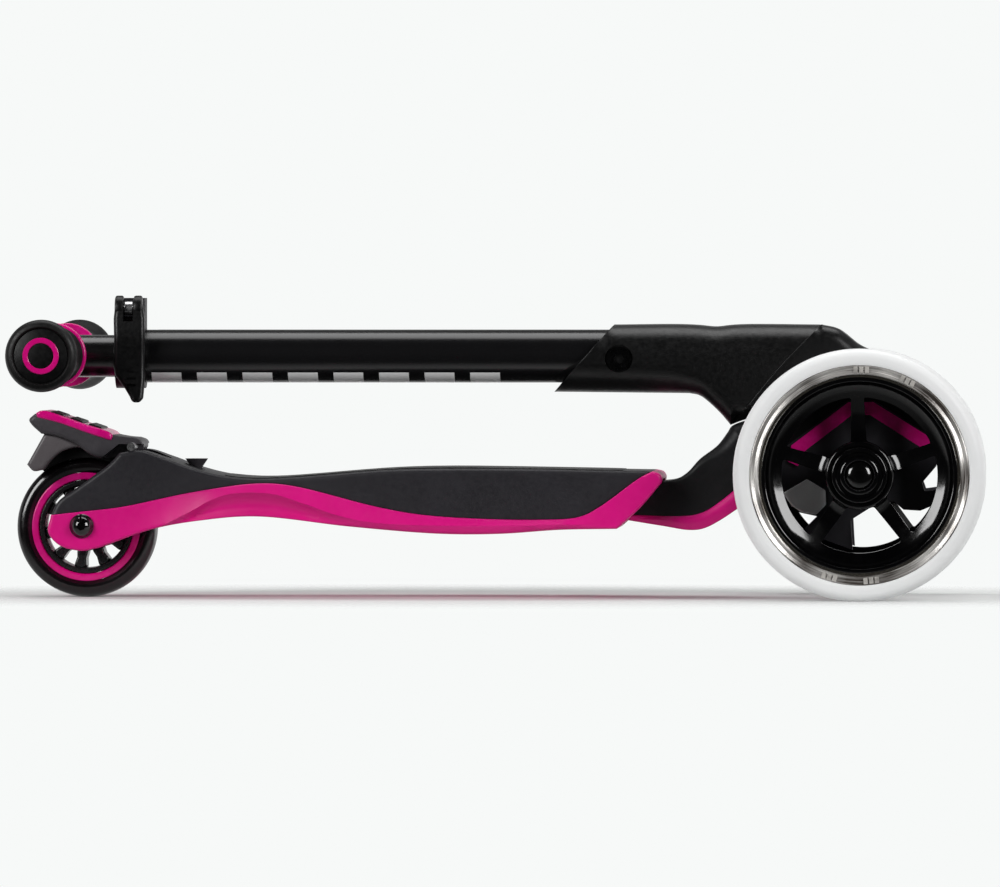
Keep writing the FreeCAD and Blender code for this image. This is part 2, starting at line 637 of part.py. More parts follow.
def tongue_room():
    """Everything the neck's tongue sweeps as the column opens, seen from the column."""
    d = math.sqrt(0.5)
    edge = (PIVOT[0] - 14.2 * d, PIVOT[1] + 14.2 * d)
    sector = [(edge[0] - 90, edge[1] - 90), edge, PIVOT, (PIVOT[0] + 40, PIVOT[1] + 14), (240, 80), (105, 50)]
    return plate(sector, -CHEEK_IN, CHEEK_IN).fuse(rod_y(15.4, -CHEEK_IN, CHEEK_IN, PIVOT))


def column_block():
    """Outer form of the column, with its upper edges rounded."""
    block = slab(column_outline(), -COLUMN_HALF, COLUMN_HALF)
    bar = box(0, 240, -COLUMN_HALF, COLUMN_HALF, 60, 165.2)
    edges = [e for e in bar.Edges if abs(e.Vertexes[0].X - e.Vertexes[-1].X) > 1 and e.Vertexes[0].Z > 100]
    block = block.common(bar.makeFillet(11, edges))
    bore = Part.makeCylinder(OUTER_TUBE_R + SEAT, OUTER_TUBE_X[1] + SEAT, V(0, 0, STEM_Z), X_AXIS)
    return cut_all(block, bore, tongue_room(), rod_y(AXLE_R + FIT, -40, 40, PIVOT))


def column_parts():
    """Left and right sleeves round the stem's foot, and the hinge head in front of the seam."""
    block = column_block()
    ahead = face_xz(COLUMN_SEAM, [COLUMN_SEAM[-1], (191.0, 180.0)], [(191.0, 180.0), (240.0, 180.0)],
                    [(240.0, 180.0), (240.0, 90.0)], [(240.0, 90.0), (128.0, 90.0)],
                    [(128.0, 90.0), COLUMN_SEAM[0]])
    front = slab(ahead, -60, 60)
    head = block.common(front)
    sleeve = cut_all(block.cut(front), column_bolt_room())
    left = sleeve.common(box(0, 260, 0, 60, 60, 200))
    right = sleeve.common(box(0, 260, -60, 0, 60, 200))
    return left, right, head


def column_bolt_room():
    shank = rod_y(3, -COLUMN_HALF + 1.5, COLUMN_HALF - 1.5, COLUMN_BOLT)
    head = rod_y(7.4, -COLUMN_HALF - 1, -COLUMN_HALF + 4.0, COLUMN_BOLT)
    nut = rod_y(6.4, COLUMN_HALF - 4.0, COLUMN_HALF + 1, COLUMN_BOLT)
    return shank.fuse(head).fuse(nut)


def column_bolt():
    """Cross bolt that clamps the sleeves on the stem, with a recessed head and a nut."""
    bolt = column_bolt_room().common(box(0, 200, -COLUMN_HALF + 0.6, COLUMN_HALF - 0.6, 60, 200))
    return bolt.cut(hexagon_y(3.2, COLUMN_BOLT, -COLUMN_HALF - 1, -COLUMN_HALF + 3.4))


def outer_tube():
    body = tube_x(OUTER_TUBE_R, OUTER_TUBE_R - OUTER_TUBE_WALL, OUTER_TUBE_X[0], OUTER_TUBE_X[1], STEM_Z)
    slit = box(OUTER_TUBE_X[0] - 1, OUTER_TUBE_X[0] + 24, -1.5, 1.5, STEM_Z, STEM_Z + 30)
    return cut_all(body, slit, column_bolt_room())


def tube_bushing():
    """Split plastic sleeve between the two stem tubes, inside the clamp."""
    outer = OUTER_TUBE_R - OUTER_TUBE_WALL - SEAT
    return tube_x(outer, INNER_TUBE_R + FIT, OUTER_TUBE_X[0] + 1, OUTER_TUBE_X[0] + 40, STEM_Z)


# ---- clamp ----
def clamp_collar():
    """Split collar round the top of the outer tube, with two ears above it."""
    ring = tube_x(19.4, OUTER_TUBE_R + SEAT, CLAMP_X[0], CLAMP_X[1], STEM_Z)
    ears = box(CLAMP_X[0], CLAMP_X[1], -9.6, 9.6, STEM_Z + 15.5, 180.6)
    ears = ears.cut(Part.makeCylinder(OUTER_TUBE_R + SEAT, 40, V(CLAMP_X[0] - 5, 0, STEM_Z), X_AXIS))
    split = box(CLAMP_X[0] - 1, CLAMP_X[1] + 1, -1.2, 1.2, STEM_Z + 10, 190)
    middle = (CLAMP_X[0] + CLAMP_X[1]) / 2
    hole = Part.makeCylinder(2.5 + SEAT, 60, V(middle, -30, CLAMP_PIVOT[1]), Y_AXIS)
    return cut_all(ring.fuse(ears), split, hole).removeSplitter()


def clamp_bolt():
    """Draw bolt through the ears: an eye and cross pin under the lever, and a nut at the far end."""
    middle = (CLAMP_X[0] + CLAMP_X[1]) / 2
    y, z = CLAMP_PIVOT
    shank = Part.makeCylinder(2.5, 32, V(middle, y, z), Y_AXIS)
    eye = Part.makeCylinder(4.6, 4.4, V(middle - 2.2, y, z), X_AXIS)
    pin = Part.makeCylinder(2.0, 14.0, V(middle - 7.0, y, z), X_AXIS)
    nut = Part.makeCylinder(5.5, 4.5, V(middle, 9.6, z), Y_AXIS)
    return shank.fuse(eye).fuse(pin).fuse(nut)


def clamp_lever():
    """Cam lever that follows the near side of the tube and flares out at its tip."""
    y, z = CLAMP_PIVOT
    x0 = CLAMP_X[0] + 0.8
    x1 = CLAMP_X[1] - 0.8
    inner = [(-21.2, 169.0), (-21.0, 158.0), (-20.4, 145.5), (-21.4, 133.0), (-24.4, 119.6)]
    outer = [(-30.4, 118.0), (-27.0, 132.0), (-26.4, 145.5), (-26.8, 158.0), (-24.4, 177.0)]

    def curve(points):
        line = Part.BSplineCurve()
        line.interpolate([V(x0, py, pz) for py, pz in points])
        return line.toShape()

    def line(a, b):
        return Part.LineSegment(V(x0, a[0], a[1]), V(x0, b[0], b[1])).toShape()

    arm = Part.Wire([curve(inner), line(inner[-1], outer[0]), curve(outer), line(outer[-1], inner[0])])
    body = Part.Face(arm).extrude(V(x1 - x0, 0, 0))
    cam = Part.makeCylinder(8.0, x1 - x0, V(x0, y, z), X_AXIS)
    middle = (x0 + x1) / 2
    slot = box(middle - 2.6, middle + 2.6, y - 20, y + 9, z - 7, z + 9)
    bore = Part.makeCylinder(2.0 + FIT, 14.4, V(middle - 7.2, y, z), X_AXIS)
    return cut_all(body.fuse(cam), slot, bore).removeSplitter()


# ---- handlebar ----
def t_bar():
    """Inner stem tube with the crossbar welded on its end."""
    stem = Part.makeCylinder(INNER_TUBE_R, INNER_TUBE_END - BAR_X, V(BAR_X, 0, STEM_Z), X_AXIS)
    bore = INNER_TUBE_R - INNER_TUBE_WALL
    hollow = Part.makeCylinder(bore, 400, V(BAR_X + BAR_R + 2, 0, STEM_Z), X_AXIS)
    bar = rod_y(BAR_R, -BAR_HALF + 8, BAR_HALF - 8, (BAR_X, BAR_Z))
    inside = rod_y(BAR_R - 1.8, -BAR_HALF, BAR_HALF, (BAR_X, BAR_Z))
    return stem.cut(hollow).fuse(bar).cut(inside).removeSplitter()


def grip():
    """Rubber grip with a mushroom-shaped outer end and a shallow round recess in it."""
    centre = (BAR_X, BAR_Z)
    r = BAR_R + SEAT
    e = BAR_HALF
    profile = [(r, 49), (17.6, 49), (17.6, 51), (16.0, 53), (16.0, e - 24), (17.5, e - 16), (20.6, e - 11),
               (21.5, e - 6), (20.6, e - 1.4), (18.2, e), (15.4, e), (14.8, e - 2.4), (r, e - 2.4)]
    body = turned(profile, centre)
    for k in range(8):
        y = 62 + 7 * k
        body = body.cut(ring_y(17, 15.3, y - 1, y + 1, centre))
    return body


def grip_collar():
    profile = [(BAR_R + SEAT, GRIP_START), (18.0, GRIP_START), (19.5, GRIP_START + 1.5),
               (19.5, GRIP_START + 3.0), (18.4, GRIP_START + 3.9), (BAR_R + SEAT, GRIP_START + 3.9)]
    return turned(profile, (BAR_X, BAR_Z))


def grip_cap():
    """Plug that closes the bar's end, flush with the bottom of the grip's recess."""
    e = BAR_HALF
    head = rod_y(BAR_R, e - 7.9, e - 1.6, (BAR_X, BAR_Z))
    return head.fuse(rod_y(BAR_R - 1.8 - SEAT, e - 20, e - 7, (BAR_X, BAR_Z)))


def main():
    os.makedirs("parts", exist_ok=True)

    mat = mat_volume()
    screws = deck_screws()
    save("deck_cover", deck_cover(mat, screws))
    save("deck_frame", deck_frame(screws))
    save("deck_grip_mat", mat)
    save("deck_screws", screws)
    save("rear_axle", rod_y(AXLE_R, -50, 50, REAR_AXLE))
    save("rear_axle_nuts", rear_axle_nuts())
    save("rear_axle_spacers", both_sides(ring_y(7, AXLE_R + SEAT, REAR_WHEEL_HALF - 1.6, FORK_IN, REAR_AXLE)))
    save("fender_hinge_pin", rod_y(2.5, -44, 44, FENDER_PIN))
    save("brake_spring", torsion_spring())

    save("rear_tyre", rear_tyre())
    save("rear_core_ring", ring_y(REAR_RING_R - SEAT, REAR_HUB_R + SEAT, -12.6, 12.6, REAR_AXLE))
    save("rear_hub", rear_hub())
    save("rear_bearings", both_sides(bearing(5, 5 + BEARING_T, REAR_AXLE)))

    bars = grip_bars()
    pad = pad_volume()
    shoe = brake_shoe()
    save("fender_body", cut_all(fender_body(), pad, shoe))
    save("fender_pad", cut_all(pad, *bars))
    save("fender_grips", Part.makeCompound(bars))
    save("brake_shoe", shoe)
    save("latch_knob", latch_knob())
    save("latch_pin", latch_pin())

    core = neck_core()
    cover, frame = neck_shells(core)
    save("neck_core", core)
    save("neck_cover", cover)
    save("neck_frame", frame)
    save("extension_rail", rail())
    save("fold_hinge_bolt", fold_bolt())
    save("kingpin", kingpin())
    save("steering_bushings", steering_bushings())
    save("fold_button", fold_button())
    save("lock_plunger", lock_plunger())

    save("truck_housing", truck_housing())
    save("truck_trim", truck_trim())
    save("front_axle", front_axle())
    save("front_axle_screws", front_axle_screws())
    save("dynamo_magnets", dynamo_magnets())

    wheel = {
        "front_tyre": front_tyre(),
        "light_ring": light_ring(),
        "trim_ring": trim_ring(),
        "front_rim": front_rim(),
        "led_modules": Part.makeCompound(led_boxes(0)),
        "hub_cap": hub_cap(),
        "front_bearings": front_bearings(),
    }
    for name, shape in wheel.items():
        save(name + "_left", shape)
        save(name + "_right", mirrored(shape))

    left, right, head = column_parts()
    save("column_shell_left", left)
    save("column_shell_right", right)
    save("column_head", head)
    save("column_bolt", column_bolt())
    save("outer_tube", outer_tube())
    save("tube_bushing", tube_bushing())
    save("clamp_collar", clamp_collar())
    save("clamp_bolt", clamp_bolt())
    save("clamp_lever", clamp_lever())

    save("t_bar", t_bar())
    save("grips", both_sides(grip()))
    save("grip_collars", both_sides(grip_collar()))
    save("grip_caps", both_sides(grip_cap()))


main()
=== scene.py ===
import json
import math

import bmesh
import bpy
import numpy as np
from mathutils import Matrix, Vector
from mathutils.geometry import delaunay_2d_cdt


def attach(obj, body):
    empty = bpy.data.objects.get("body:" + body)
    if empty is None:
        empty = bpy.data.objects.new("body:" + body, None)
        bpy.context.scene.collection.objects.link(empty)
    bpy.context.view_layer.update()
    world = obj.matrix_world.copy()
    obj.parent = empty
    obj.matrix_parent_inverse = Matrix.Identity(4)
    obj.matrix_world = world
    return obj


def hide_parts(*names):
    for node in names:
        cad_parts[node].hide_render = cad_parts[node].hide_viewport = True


# Visual model of a folding three-wheel kick scooter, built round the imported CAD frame.
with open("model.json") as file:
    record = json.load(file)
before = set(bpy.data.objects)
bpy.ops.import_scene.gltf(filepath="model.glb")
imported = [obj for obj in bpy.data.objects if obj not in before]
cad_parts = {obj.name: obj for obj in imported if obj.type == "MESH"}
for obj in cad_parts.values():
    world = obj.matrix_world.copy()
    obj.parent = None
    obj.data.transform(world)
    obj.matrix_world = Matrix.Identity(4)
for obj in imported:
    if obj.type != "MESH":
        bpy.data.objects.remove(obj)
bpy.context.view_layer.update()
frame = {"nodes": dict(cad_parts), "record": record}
scene = bpy.context.scene
scene.view_settings.view_transform = "Standard"

# Places are in millimetres, as (x, z) or (x, y, z), from the CAD's drawing datum.
SHIFT = 3.0  # the datum is 3 mm behind the frame's origin
REAR_AXLE = (-253.0, 42.5)
FRONT_AXLE = (214.5, 75.0)
FRONT_WHEEL_Y = 85.0  # middle of each front wheel, either side of y = 0
FENDER_PIN = (-223.4, 91.1)
PIVOT = (195.0, 130.0)
STEM_Z = 145.5
TUBE_ENDS = (-234.0, 112.0)
COLUMN_BOLT = (68.9, 144.0)
HANDLEBAR = (-269.4, 146.0)
GRIP_END = 140.0
KINGPIN_FOOT = (201.8, 0, 87.7)
KINGPIN_DIR = (math.sqrt(0.5), 0, math.sqrt(0.5))

LENS_MM = 388
CAMERA_PLACE = (0.2944, -6.5, 0.1696)
CAMERA_AIM = (-0.0005, 0, 0.0927)
BACKDROP = (0.930, 0.947, 0.939, 1)
FLOOR_HALF_WIDTH = 0.9
FLOOR_HALF_DEPTH = 0.6


def at(x, y, z):
    """Point given in millimetres from the CAD's drawing datum, as a Vector in metres in the frame."""
    return Vector(((x + SHIFT) / 1000, y / 1000, z / 1000))


# ---------------------------------------------------------------- shader nodes
def add_node(tree, kind, inputs=(), **attributes):
    """New shader node. An input is a value, or a socket to link from."""
    node = tree.nodes.new("ShaderNode" + kind)
    for key, value in attributes.items():
        setattr(node, key, value)
    for key, value in dict(inputs).items():
        if isinstance(value, bpy.types.NodeSocket):
            tree.links.new(value, node.inputs[key])
        else:
            node.inputs[key].default_value = value
    return node


def ramp(tree, value, start, end, low, high):
    """Smooth change from low to high while value goes from start to end."""
    limits = {"Value": value, "From Min": start, "From Max": end, "To Min": low, "To Max": high}
    return add_node(tree, "MapRange", limits, interpolation_type="SMOOTHSTEP").outputs[0]


class Nodes:
    """Short hands for building one node material."""

    def __init__(self, name):
        self.material = bpy.data.materials.new(name)
        self.material.use_nodes = True
        self.tree = self.material.node_tree
        self.shader = self.tree.nodes["Principled BSDF"]
        self.coords = self.tree.nodes.new("ShaderNodeTexCoord").outputs["Object"]

    def set(self, **values):
        for key, value in values.items():
            socket = self.shader.inputs[key.replace("_", " ")]
            socket.default_value = (*value, 1) if isinstance(value, tuple) else value
        return self

    def node(self, kind, inputs=(), **attributes):
        return add_node(self.tree, kind, inputs, **attributes)

    def math(self, operation, a, b):
        return self.node("Math", {0: a, 1: b}, operation=operation).outputs[0]

    def noise(self, scale, detail=3.0, rough=0.55):
        return self.node("TexNoise", {"Vector": self.coords, "Scale": scale, "Detail": detail,
                                      "Roughness": rough}).outputs[0]

    def spread(self, value, low, high, a=0.3, b=0.7):
        return self.node("MapRange", {"Value": value, "From Min": a, "From Max": b,
                                      "To Min": low, "To Max": high}).outputs[0]

    def mix(self, factor, a, b):
        """Colour between a and b. The numbers are the mix node's factor and its two colours."""
        return self.node("Mix", {0: factor, 6: (*a, 1), 7: (*b, 1)}, data_type="RGBA").outputs[2]

    def bump(self, height, strength, distance, normal=None):
        inputs = {"Height": height, "Strength": strength, "Distance": distance}
        if normal:
            inputs["Normal"] = normal
        return self.node("Bump", inputs).outputs[0]

    def feed(self, **sockets):
        for key, value in sockets.items():
            self.tree.links.new(value, self.shader.inputs[key.replace("_", " ")])
        return self.material


# ---------------------------------------------------------------- camera, world, lights, floor
def make_camera():
    data = bpy.data.cameras.new("camera")
    data.sensor_width = 36
    data.lens = LENS_MM
    data.clip_end = 50
    camera = bpy.data.objects.new("camera", data)
    scene.collection.objects.link(camera)
    camera.location = Vector(CAMERA_PLACE)
    camera.rotation_euler = (Vector(CAMERA_AIM) - camera.location).to_track_quat("-Z", "Y").to_euler()
    scene.camera = camera


def make_world():
    """Pale studio, lit low and from behind. The camera sees an even backdrop."""
    world = bpy.data.worlds.new("studio")
    scene.world = world
    world.use_nodes = True
    tree = world.node_tree
    tree.nodes.clear()
    coords = add_node(tree, "TexCoord").outputs["Generated"]
    axes = add_node(tree, "SeparateXYZ", {0: coords}).outputs
    behind = ramp(tree, axes["Y"], -0.30, 0.25, 0.02, 0.80)
    low = ramp(tree, axes["Z"], 0.02, 0.6, 1.0, 0.16)
    glow = add_node(tree, "Math", {0: behind, 1: low}, operation="MULTIPLY").outputs[0]
    lit = add_node(tree, "Background", {"Color": (1, 1, 1, 1), "Strength": glow}).outputs[0]
    seen = add_node(tree, "Background", {"Color": BACKDROP, "Strength": 1.0}).outputs[0]
    path = add_node(tree, "LightPath").outputs
    direct = add_node(tree, "Math", {0: path["Is Camera Ray"], 1: path["Is Transmission Ray"]},
                      operation="MAXIMUM").outputs[0]
    mix = add_node(tree, "MixShader", {0: direct, 1: lit, 2: seen}).outputs[0]
    add_node(tree, "OutputWorld", {0: mix})


def area_light(name, place, aim, width, height, watts):
    data = bpy.data.lights.new(name, "AREA")
    data.shape = "RECTANGLE"
    data.size = width
    data.size_y = height
    data.energy = watts
    light = bpy.data.objects.new(name, data)
    scene.collection.objects.link(light)
    light.location = place
    light.rotation_euler = (Vector(aim) - light.location).to_track_quat("-Z", "Y").to_euler()
    light.visible_camera = False


def make_floor():
    """Pale sheet that fades out into the backdrop."""
    w, d = FLOOR_HALF_WIDTH, FLOOR_HALF_DEPTH
    mesh = bpy.data.meshes.new("floor")
    mesh.from_pydata([(-w, -d, 0), (w, -d, 0), (w, d, 0), (-w, d, 0)], [], [(0, 1, 2, 3)])
    floor = bpy.data.objects.new("floor", mesh)
    scene.collection.objects.link(floor)
    n = Nodes("pale_floor").set(Base_Color=(0.74, 0.75, 0.745), Roughness=0.9, Specular_IOR_Level=0.1)
    oval = n.node("Mapping", {0: n.coords, "Location": (0, -0.08, 0), "Scale": (1.7, 3.2, 0)}).outputs[0]
    reach = n.node("VectorMath", {0: oval}, operation="LENGTH").outputs["Value"]
    mesh.materials.append(n.feed(Alpha=ramp(n.tree, reach, 0.3, 1.0, 1.0, 0.0)))


make_camera()
make_world()
area_light("key_left", (-1.7, -1.6, 0.9), (0, 0, 0.08), 1.0, 1.2, 37)
area_light("key_right", (1.8, -1.5, 0.9), (0, 0, 0.08), 1.0, 1.2, 37)
area_light("top", (0, 0.25, 1.5), (0, 0, 0), 1.8, 0.9, 14)
make_floor()


# ---------------------------------------------------------------- materials
PAINT = {}


def moulded(name, dark, light, rough, grain=2600.0, depth=0.00004, spec=0.5, sheen=0.0):
    """Moulded plastic: faint cloudy colour, fine grain and uneven gloss."""
    n = Nodes(name).set(Specular_IOR_Level=spec, Sheen_Weight=sheen, Sheen_Roughness=0.35)
    cloud = n.noise(38.0, 4.0, 0.6)
    fleck = n.noise(420.0, 4.0, 0.65)
    fine = n.noise(grain, 2.0)
    mottled = n.bump(fleck, 0.25, depth * 2)
    PAINT[name] = n.feed(Base_Color=n.mix(n.spread(cloud, 0, 1), dark, light),
                         Roughness=n.spread(fleck, rough - 0.05, rough + 0.07, 0.35, 0.65),
                         Normal=n.bump(fine, 0.35, depth, mottled))


def glossy(name, colour, light, rough=0.06, spec=0.5):
    """Polished plastic or paint, with a trace of orange peel and dust."""
    n = Nodes(name).set(Specular_IOR_Level=spec)
    peel = n.noise(260.0, 2.0)
    dust = n.noise(90.0, 5.0, 0.7)
    PAINT[name] = n.feed(Base_Color=n.mix(n.spread(dust, 0, 1, 0.45, 0.75), colour, light),
                         Roughness=n.spread(dust, rough, rough + 0.08), Normal=n.bump(peel, 0.06, 0.0004))


def metal(name, colour, light, rough, grain=900.0):
    """Brushed or cast metal with fine marks."""
    n = Nodes(name).set(Metallic=1.0)
    marks = n.noise(grain, 3.0)
    cloud = n.noise(60.0, 3.0)
    PAINT[name] = n.feed(Base_Color=n.mix(n.spread(cloud, 0, 1), colour, light),
                         Roughness=n.spread(marks, rough - 0.05, rough + 0.08),
                         Normal=n.bump(marks, 0.1, 0.0001))


BAR_PITCH = 0.0275  # metres, as the nodes below are
BAR_GAP = 0.0095
BAR_ROW = (-0.211, 0.008)
BAR_TOP = 0.1356


def printed_paint(name):
    """Black satin paint with a row of plain white bars along the tube's lower near side."""
    n = Nodes(name).set(Specular_IOR_Level=0.5, IOR=1.6)
    x, y, z = n.node("SeparateXYZ", {0: n.coords}).outputs
    bars = n.math("GREATER_THAN", n.math("FLOORED_MODULO", x, BAR_PITCH), BAR_GAP)
    for limit in (n.math("LESS_THAN", z, BAR_TOP), n.math("LESS_THAN", y, 0.0),
                  n.math("GREATER_THAN", x, BAR_ROW[0]), n.math("LESS_THAN", x, BAR_ROW[1])):
        bars = n.math("MULTIPLY", bars, limit)
    peel = n.noise(200.0, 2.0)
    dust = n.noise(90.0, 5.0, 0.7)
    PAINT[name] = n.feed(Base_Color=n.mix(bars, (0.004, 0.004, 0.0045), (0.95, 0.95, 0.95)),
                         Roughness=n.spread(dust, 0.21, 0.235), Normal=n.bump(peel, 0.02, 0.0003))


def milky(name):
    """Cloudy cast tyre that lets a little light through."""
    n = Nodes(name).set(Transmission_Weight=0.12, IOR=1.3, Specular_IOR_Level=0.4)
    swirl = n.noise(26.0, 3.0)
    PAINT[name] = n.feed(Base_Color=n.mix(n.spread(swirl, 0, 1), (0.95, 0.96, 0.96), (0.98, 0.985, 0.985)),
                         Roughness=n.spread(swirl, 0.28, 0.36),
                         Normal=n.bump(n.noise(140.0, 2.0), 0.05, 0.0003))


def painted_reflection_ring(name):
    """Light ring with a painted reflection: fine lines round the axle that shade from pale to brown-grey as they
    go round, in place of what the clear ring reflects.
    """
    n = Nodes(name).set(Metallic=0.35, Transmission_Weight=0.10, IOR=1.45)
    axle = at(FRONT_AXLE[0], 0, FRONT_AXLE[1])
    place = n.node("Mapping", {0: n.coords, "Location": -axle}).outputs[0]
    axes = n.node("SeparateXYZ", {0: place}).outputs
    flat = n.node("CombineXYZ", {0: axes[0], 2: axes[2]}).outputs[0]
    away = n.node("VectorMath", {0: flat}, operation="LENGTH").outputs["Value"]
    around = n.node("VectorMath", {0: flat}, operation="NORMALIZE").outputs[0]
    turn = n.node("SeparateXYZ", {0: around}).outputs
    lines = n.node("CombineXYZ", {0: turn[0], 1: n.math("MULTIPLY", away, 420.0), 2: turn[2]}).outputs[0]
    broad = n.node("TexNoise", {"Vector": around, "Scale": 2.3, "Detail": 1.0}).outputs[0]
    fine = n.node("TexNoise", {"Vector": lines, "Scale": 2.2, "Detail": 3.0, "Roughness": 0.6}).outputs[0]
    # painted reflection: the broad change round the ring and the fine lines set the colour from brown-grey to
    # pale
    shade = n.math("ADD", n.spread(broad, 0, 0.72, 0.38, 0.64), n.spread(fine, -0.2, 0.45))
    PAINT[name] = n.feed(Base_Color=n.mix(n.spread(shade, 0, 1, 0.0, 1.0), (0.055, 0.045, 0.038),
                                          (0.78, 0.76, 0.73)),
                         Roughness=n.spread(fine, 0.16, 0.30), Normal=n.bump(fine, 0.12, 0.0004))


MAGENTA = (0.62, 0.002, 0.185)
moulded("black_plastic", (0.013, 0.012, 0.015), (0.018, 0.017, 0.021), 0.46, spec=0.35)
moulded("grey_plastic", (0.040, 0.036, 0.042), (0.052, 0.048, 0.054), 0.42)
moulded("magenta_plastic", MAGENTA, (0.67, 0.003, 0.205), 0.38, depth=0.00002, spec=0.35)
glossy("magenta_gloss", MAGENTA, (0.74, 0.012, 0.26), 0.18)
glossy("red_plastic", (0.55, 0.02, 0.10), (0.62, 0.04, 0.14), 0.2)
moulded("grip_rubber", (0.002, 0.002, 0.002), (0.004, 0.004, 0.004), 0.45, 1500.0, 0.0001, spec=0.3)
glossy("gloss_black", (0.0008, 0.0008, 0.001), (0.002, 0.002, 0.0022), 0.07, 0.6)
glossy("black_paint", (0.004, 0.004, 0.0045), (0.007, 0.007, 0.007), 0.2, 0.8)
metal("black_metal", (0.012, 0.012, 0.013), (0.022, 0.022, 0.023), 0.28)
moulded("neck_plastic", (0.003, 0.003, 0.0035), (0.006, 0.006, 0.007), 0.45, 1400.0, 0.00012, spec=0.3)
moulded("column_plastic", (0.0015, 0.0015, 0.0016), (0.003, 0.003, 0.0032), 0.33, 1800.0, 0.00006,
        spec=0.42, sheen=0.12)
moulded("fender_plastic", (0.030, 0.027, 0.031), (0.042, 0.038, 0.044), 0.44)
moulded("tail_plastic", (0.075, 0.066, 0.070), (0.095, 0.085, 0.090), 0.42)
moulded("hub_plastic", (0.005, 0.005, 0.006), (0.010, 0.010, 0.011), 0.26)
moulded("clamp_plastic", (0.001, 0.001, 0.0012), (0.002, 0.002, 0.0022), 0.36, 1300.0, 0.00008, spec=0.3)
moulded("grip_dark", (0.001, 0.001, 0.0012), (0.002, 0.002, 0.0022), 0.4, 1500.0, 0.0001, spec=0.25)
glossy("black_chrome", (0.001, 0.001, 0.001), (0.003, 0.003, 0.003), 0.08, 0.8)
moulded("pale_plastic", (0.84, 0.84, 0.84), (0.92, 0.92, 0.92), 0.4)
printed_paint("printed_paint")
glossy("led_lens", (0.50, 0.48, 0.45), (0.20, 0.19, 0.18), 0.15)
moulded("cast_alloy", (0.012, 0.012, 0.013), (0.018, 0.018, 0.019), 0.42, 900.0, 0.00012)
metal("steel", (0.52, 0.52, 0.53), (0.62, 0.62, 0.63), 0.28)
metal("aluminium", (0.60, 0.61, 0.62), (0.70, 0.71, 0.72), 0.32, 1400.0)
metal("champagne", (0.80, 0.74, 0.62), (0.90, 0.84, 0.72), 0.12)
glossy("smoke_tyre", (0.003, 0.002, 0.0025), (0.006, 0.004, 0.005), 0.14, 0.7)
milky("clear_tyre")
# light ring coloured with painted reflection streaks
painted_reflection_ring("light_ring")
glossy("led", (0.75, 0.75, 0.76), (0.85, 0.85, 0.86), 0.2)

slot_of = {s["node"]: s["material_slot"] for s in frame["record"]["subparts"]}
for node_name, node in frame["nodes"].items():
    node.data.materials.clear()
    node.data.materials.append(PAINT[slot_of[node_name]])


# ---------------------------------------------------------------- shapes
def smooth(points, step=1.4):
    """Evenly spaced points on a line, or on a smooth curve when there are more than two."""
    pts = [Vector(p) for p in points]
    dense = pts if len(pts) == 2 else []
    if len(pts) > 2:
        ends = [2 * pts[0] - pts[1]] + pts + [2 * pts[-1] - pts[-2]]
        for a, b, c, d in zip(ends, ends[1:], ends[2:], ends[3:]):
            t0, t1, t2 = [max((q - p).length, 1e-6) ** 0.5 for p, q in ((a, b), (b, c), (c, d))]
            m1 = c - b + t1 * ((b - a) / t0 - (c - a) / (t0 + t1))
            m2 = c - b + t1 * ((d - c) / t2 - (d - b) / (t1 + t2))
            for k in range(24):
                t = k / 24
                cubic, square = 2 * (b - c) + m1 + m2, 3 * (c - b) - 2 * m1 - m2
                dense.append(cubic * t ** 3 + square * t ** 2 + m1 * t + b)
        dense.append(pts[-1])
    lengths = np.cumsum([0] + [(q - p).length for p, q in zip(dense, dense[1:])])
    count = max(2, int(round(lengths[-1] / step)) + 1)
    where = np.linspace(0, lengths[-1], count)
    columns = [np.interp(where, lengths, [p[i] for p in dense]) for i in range(len(pts[0]))]
    return [tuple(row) for row in np.array(columns).T]


def trace(*runs, step=1.4):
    """Closed outline from runs that share their end points."""
    outline = []
    for run in runs:
        outline += smooth(run, step)[:-1]
    return outline


def line_of(points):
    """Height of a smooth line at any x, as a function."""
    dense = np.array(smooth(points, 0.8))
    order = np.argsort(dense[:, 0])
    return lambda x: np.interp(x, dense[order, 0], dense[order, 1])


def rounded(points, radius, steps=6):
    """Closed outline with its corners rounded. radius is one number or one for each corner."""
    out = []
    n = len(points)
    radii = radius if hasattr(radius, "__len__") else [radius] * n
    for i in range(n):
        p, a, b = Vector(points[i]), Vector(points[i - 1]), Vector(points[(i + 1) % n])
        u, v = (a - p), (b - p)
        angle = u.angle(v, math.pi)
        if radii[i] <= 0 or angle > math.radians(175):
            out.append(tuple(p))
            continue
        reach = min(radii[i] / math.tan(angle / 2), 0.48 * u.length, 0.48 * v.length)
        start, end = p + u.normalized() * reach, p + v.normalized() * reach
        for k in range(steps + 1):
            t = k / steps
            out.append(tuple((1 - t) ** 2 * start + 2 * t * (1 - t) * p + t * t * end))
    return out


def new_piece(name, vertices, faces, body, paint, slot, stands_for=(), sharp=32):
    """Mesh object from points in millimetres, with its body, its paint and the CAD nodes it stands for."""
    mesh = bpy.data.meshes.new(name)
    mesh.from_pydata([at(*v) for v in vertices], [], faces)
    clean = bmesh.new()
    clean.from_mesh(mesh)
    bmesh.ops.remove_doubles(clean, verts=clean.verts, dist=1e-6)
    bmesh.ops.recalc_face_normals(clean, faces=clean.faces)
    clean.to_mesh(mesh)
    clean.free()
    piece = bpy.data.objects.new(name, mesh)
    scene.collection.objects.link(piece)
    finish_mesh(piece, sharp)
    if body:
        mesh.materials.append(PAINT[paint])
        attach(piece, body)
        if stands_for:
            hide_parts(*stands_for)
    return piece


def finish_mesh(piece, sharp):
    mesh = piece.data
    mesh.polygons.foreach_set("use_smooth", [True] * len(mesh.polygons))
    mesh.set_sharp_from_angle(angle=math.radians(sharp))


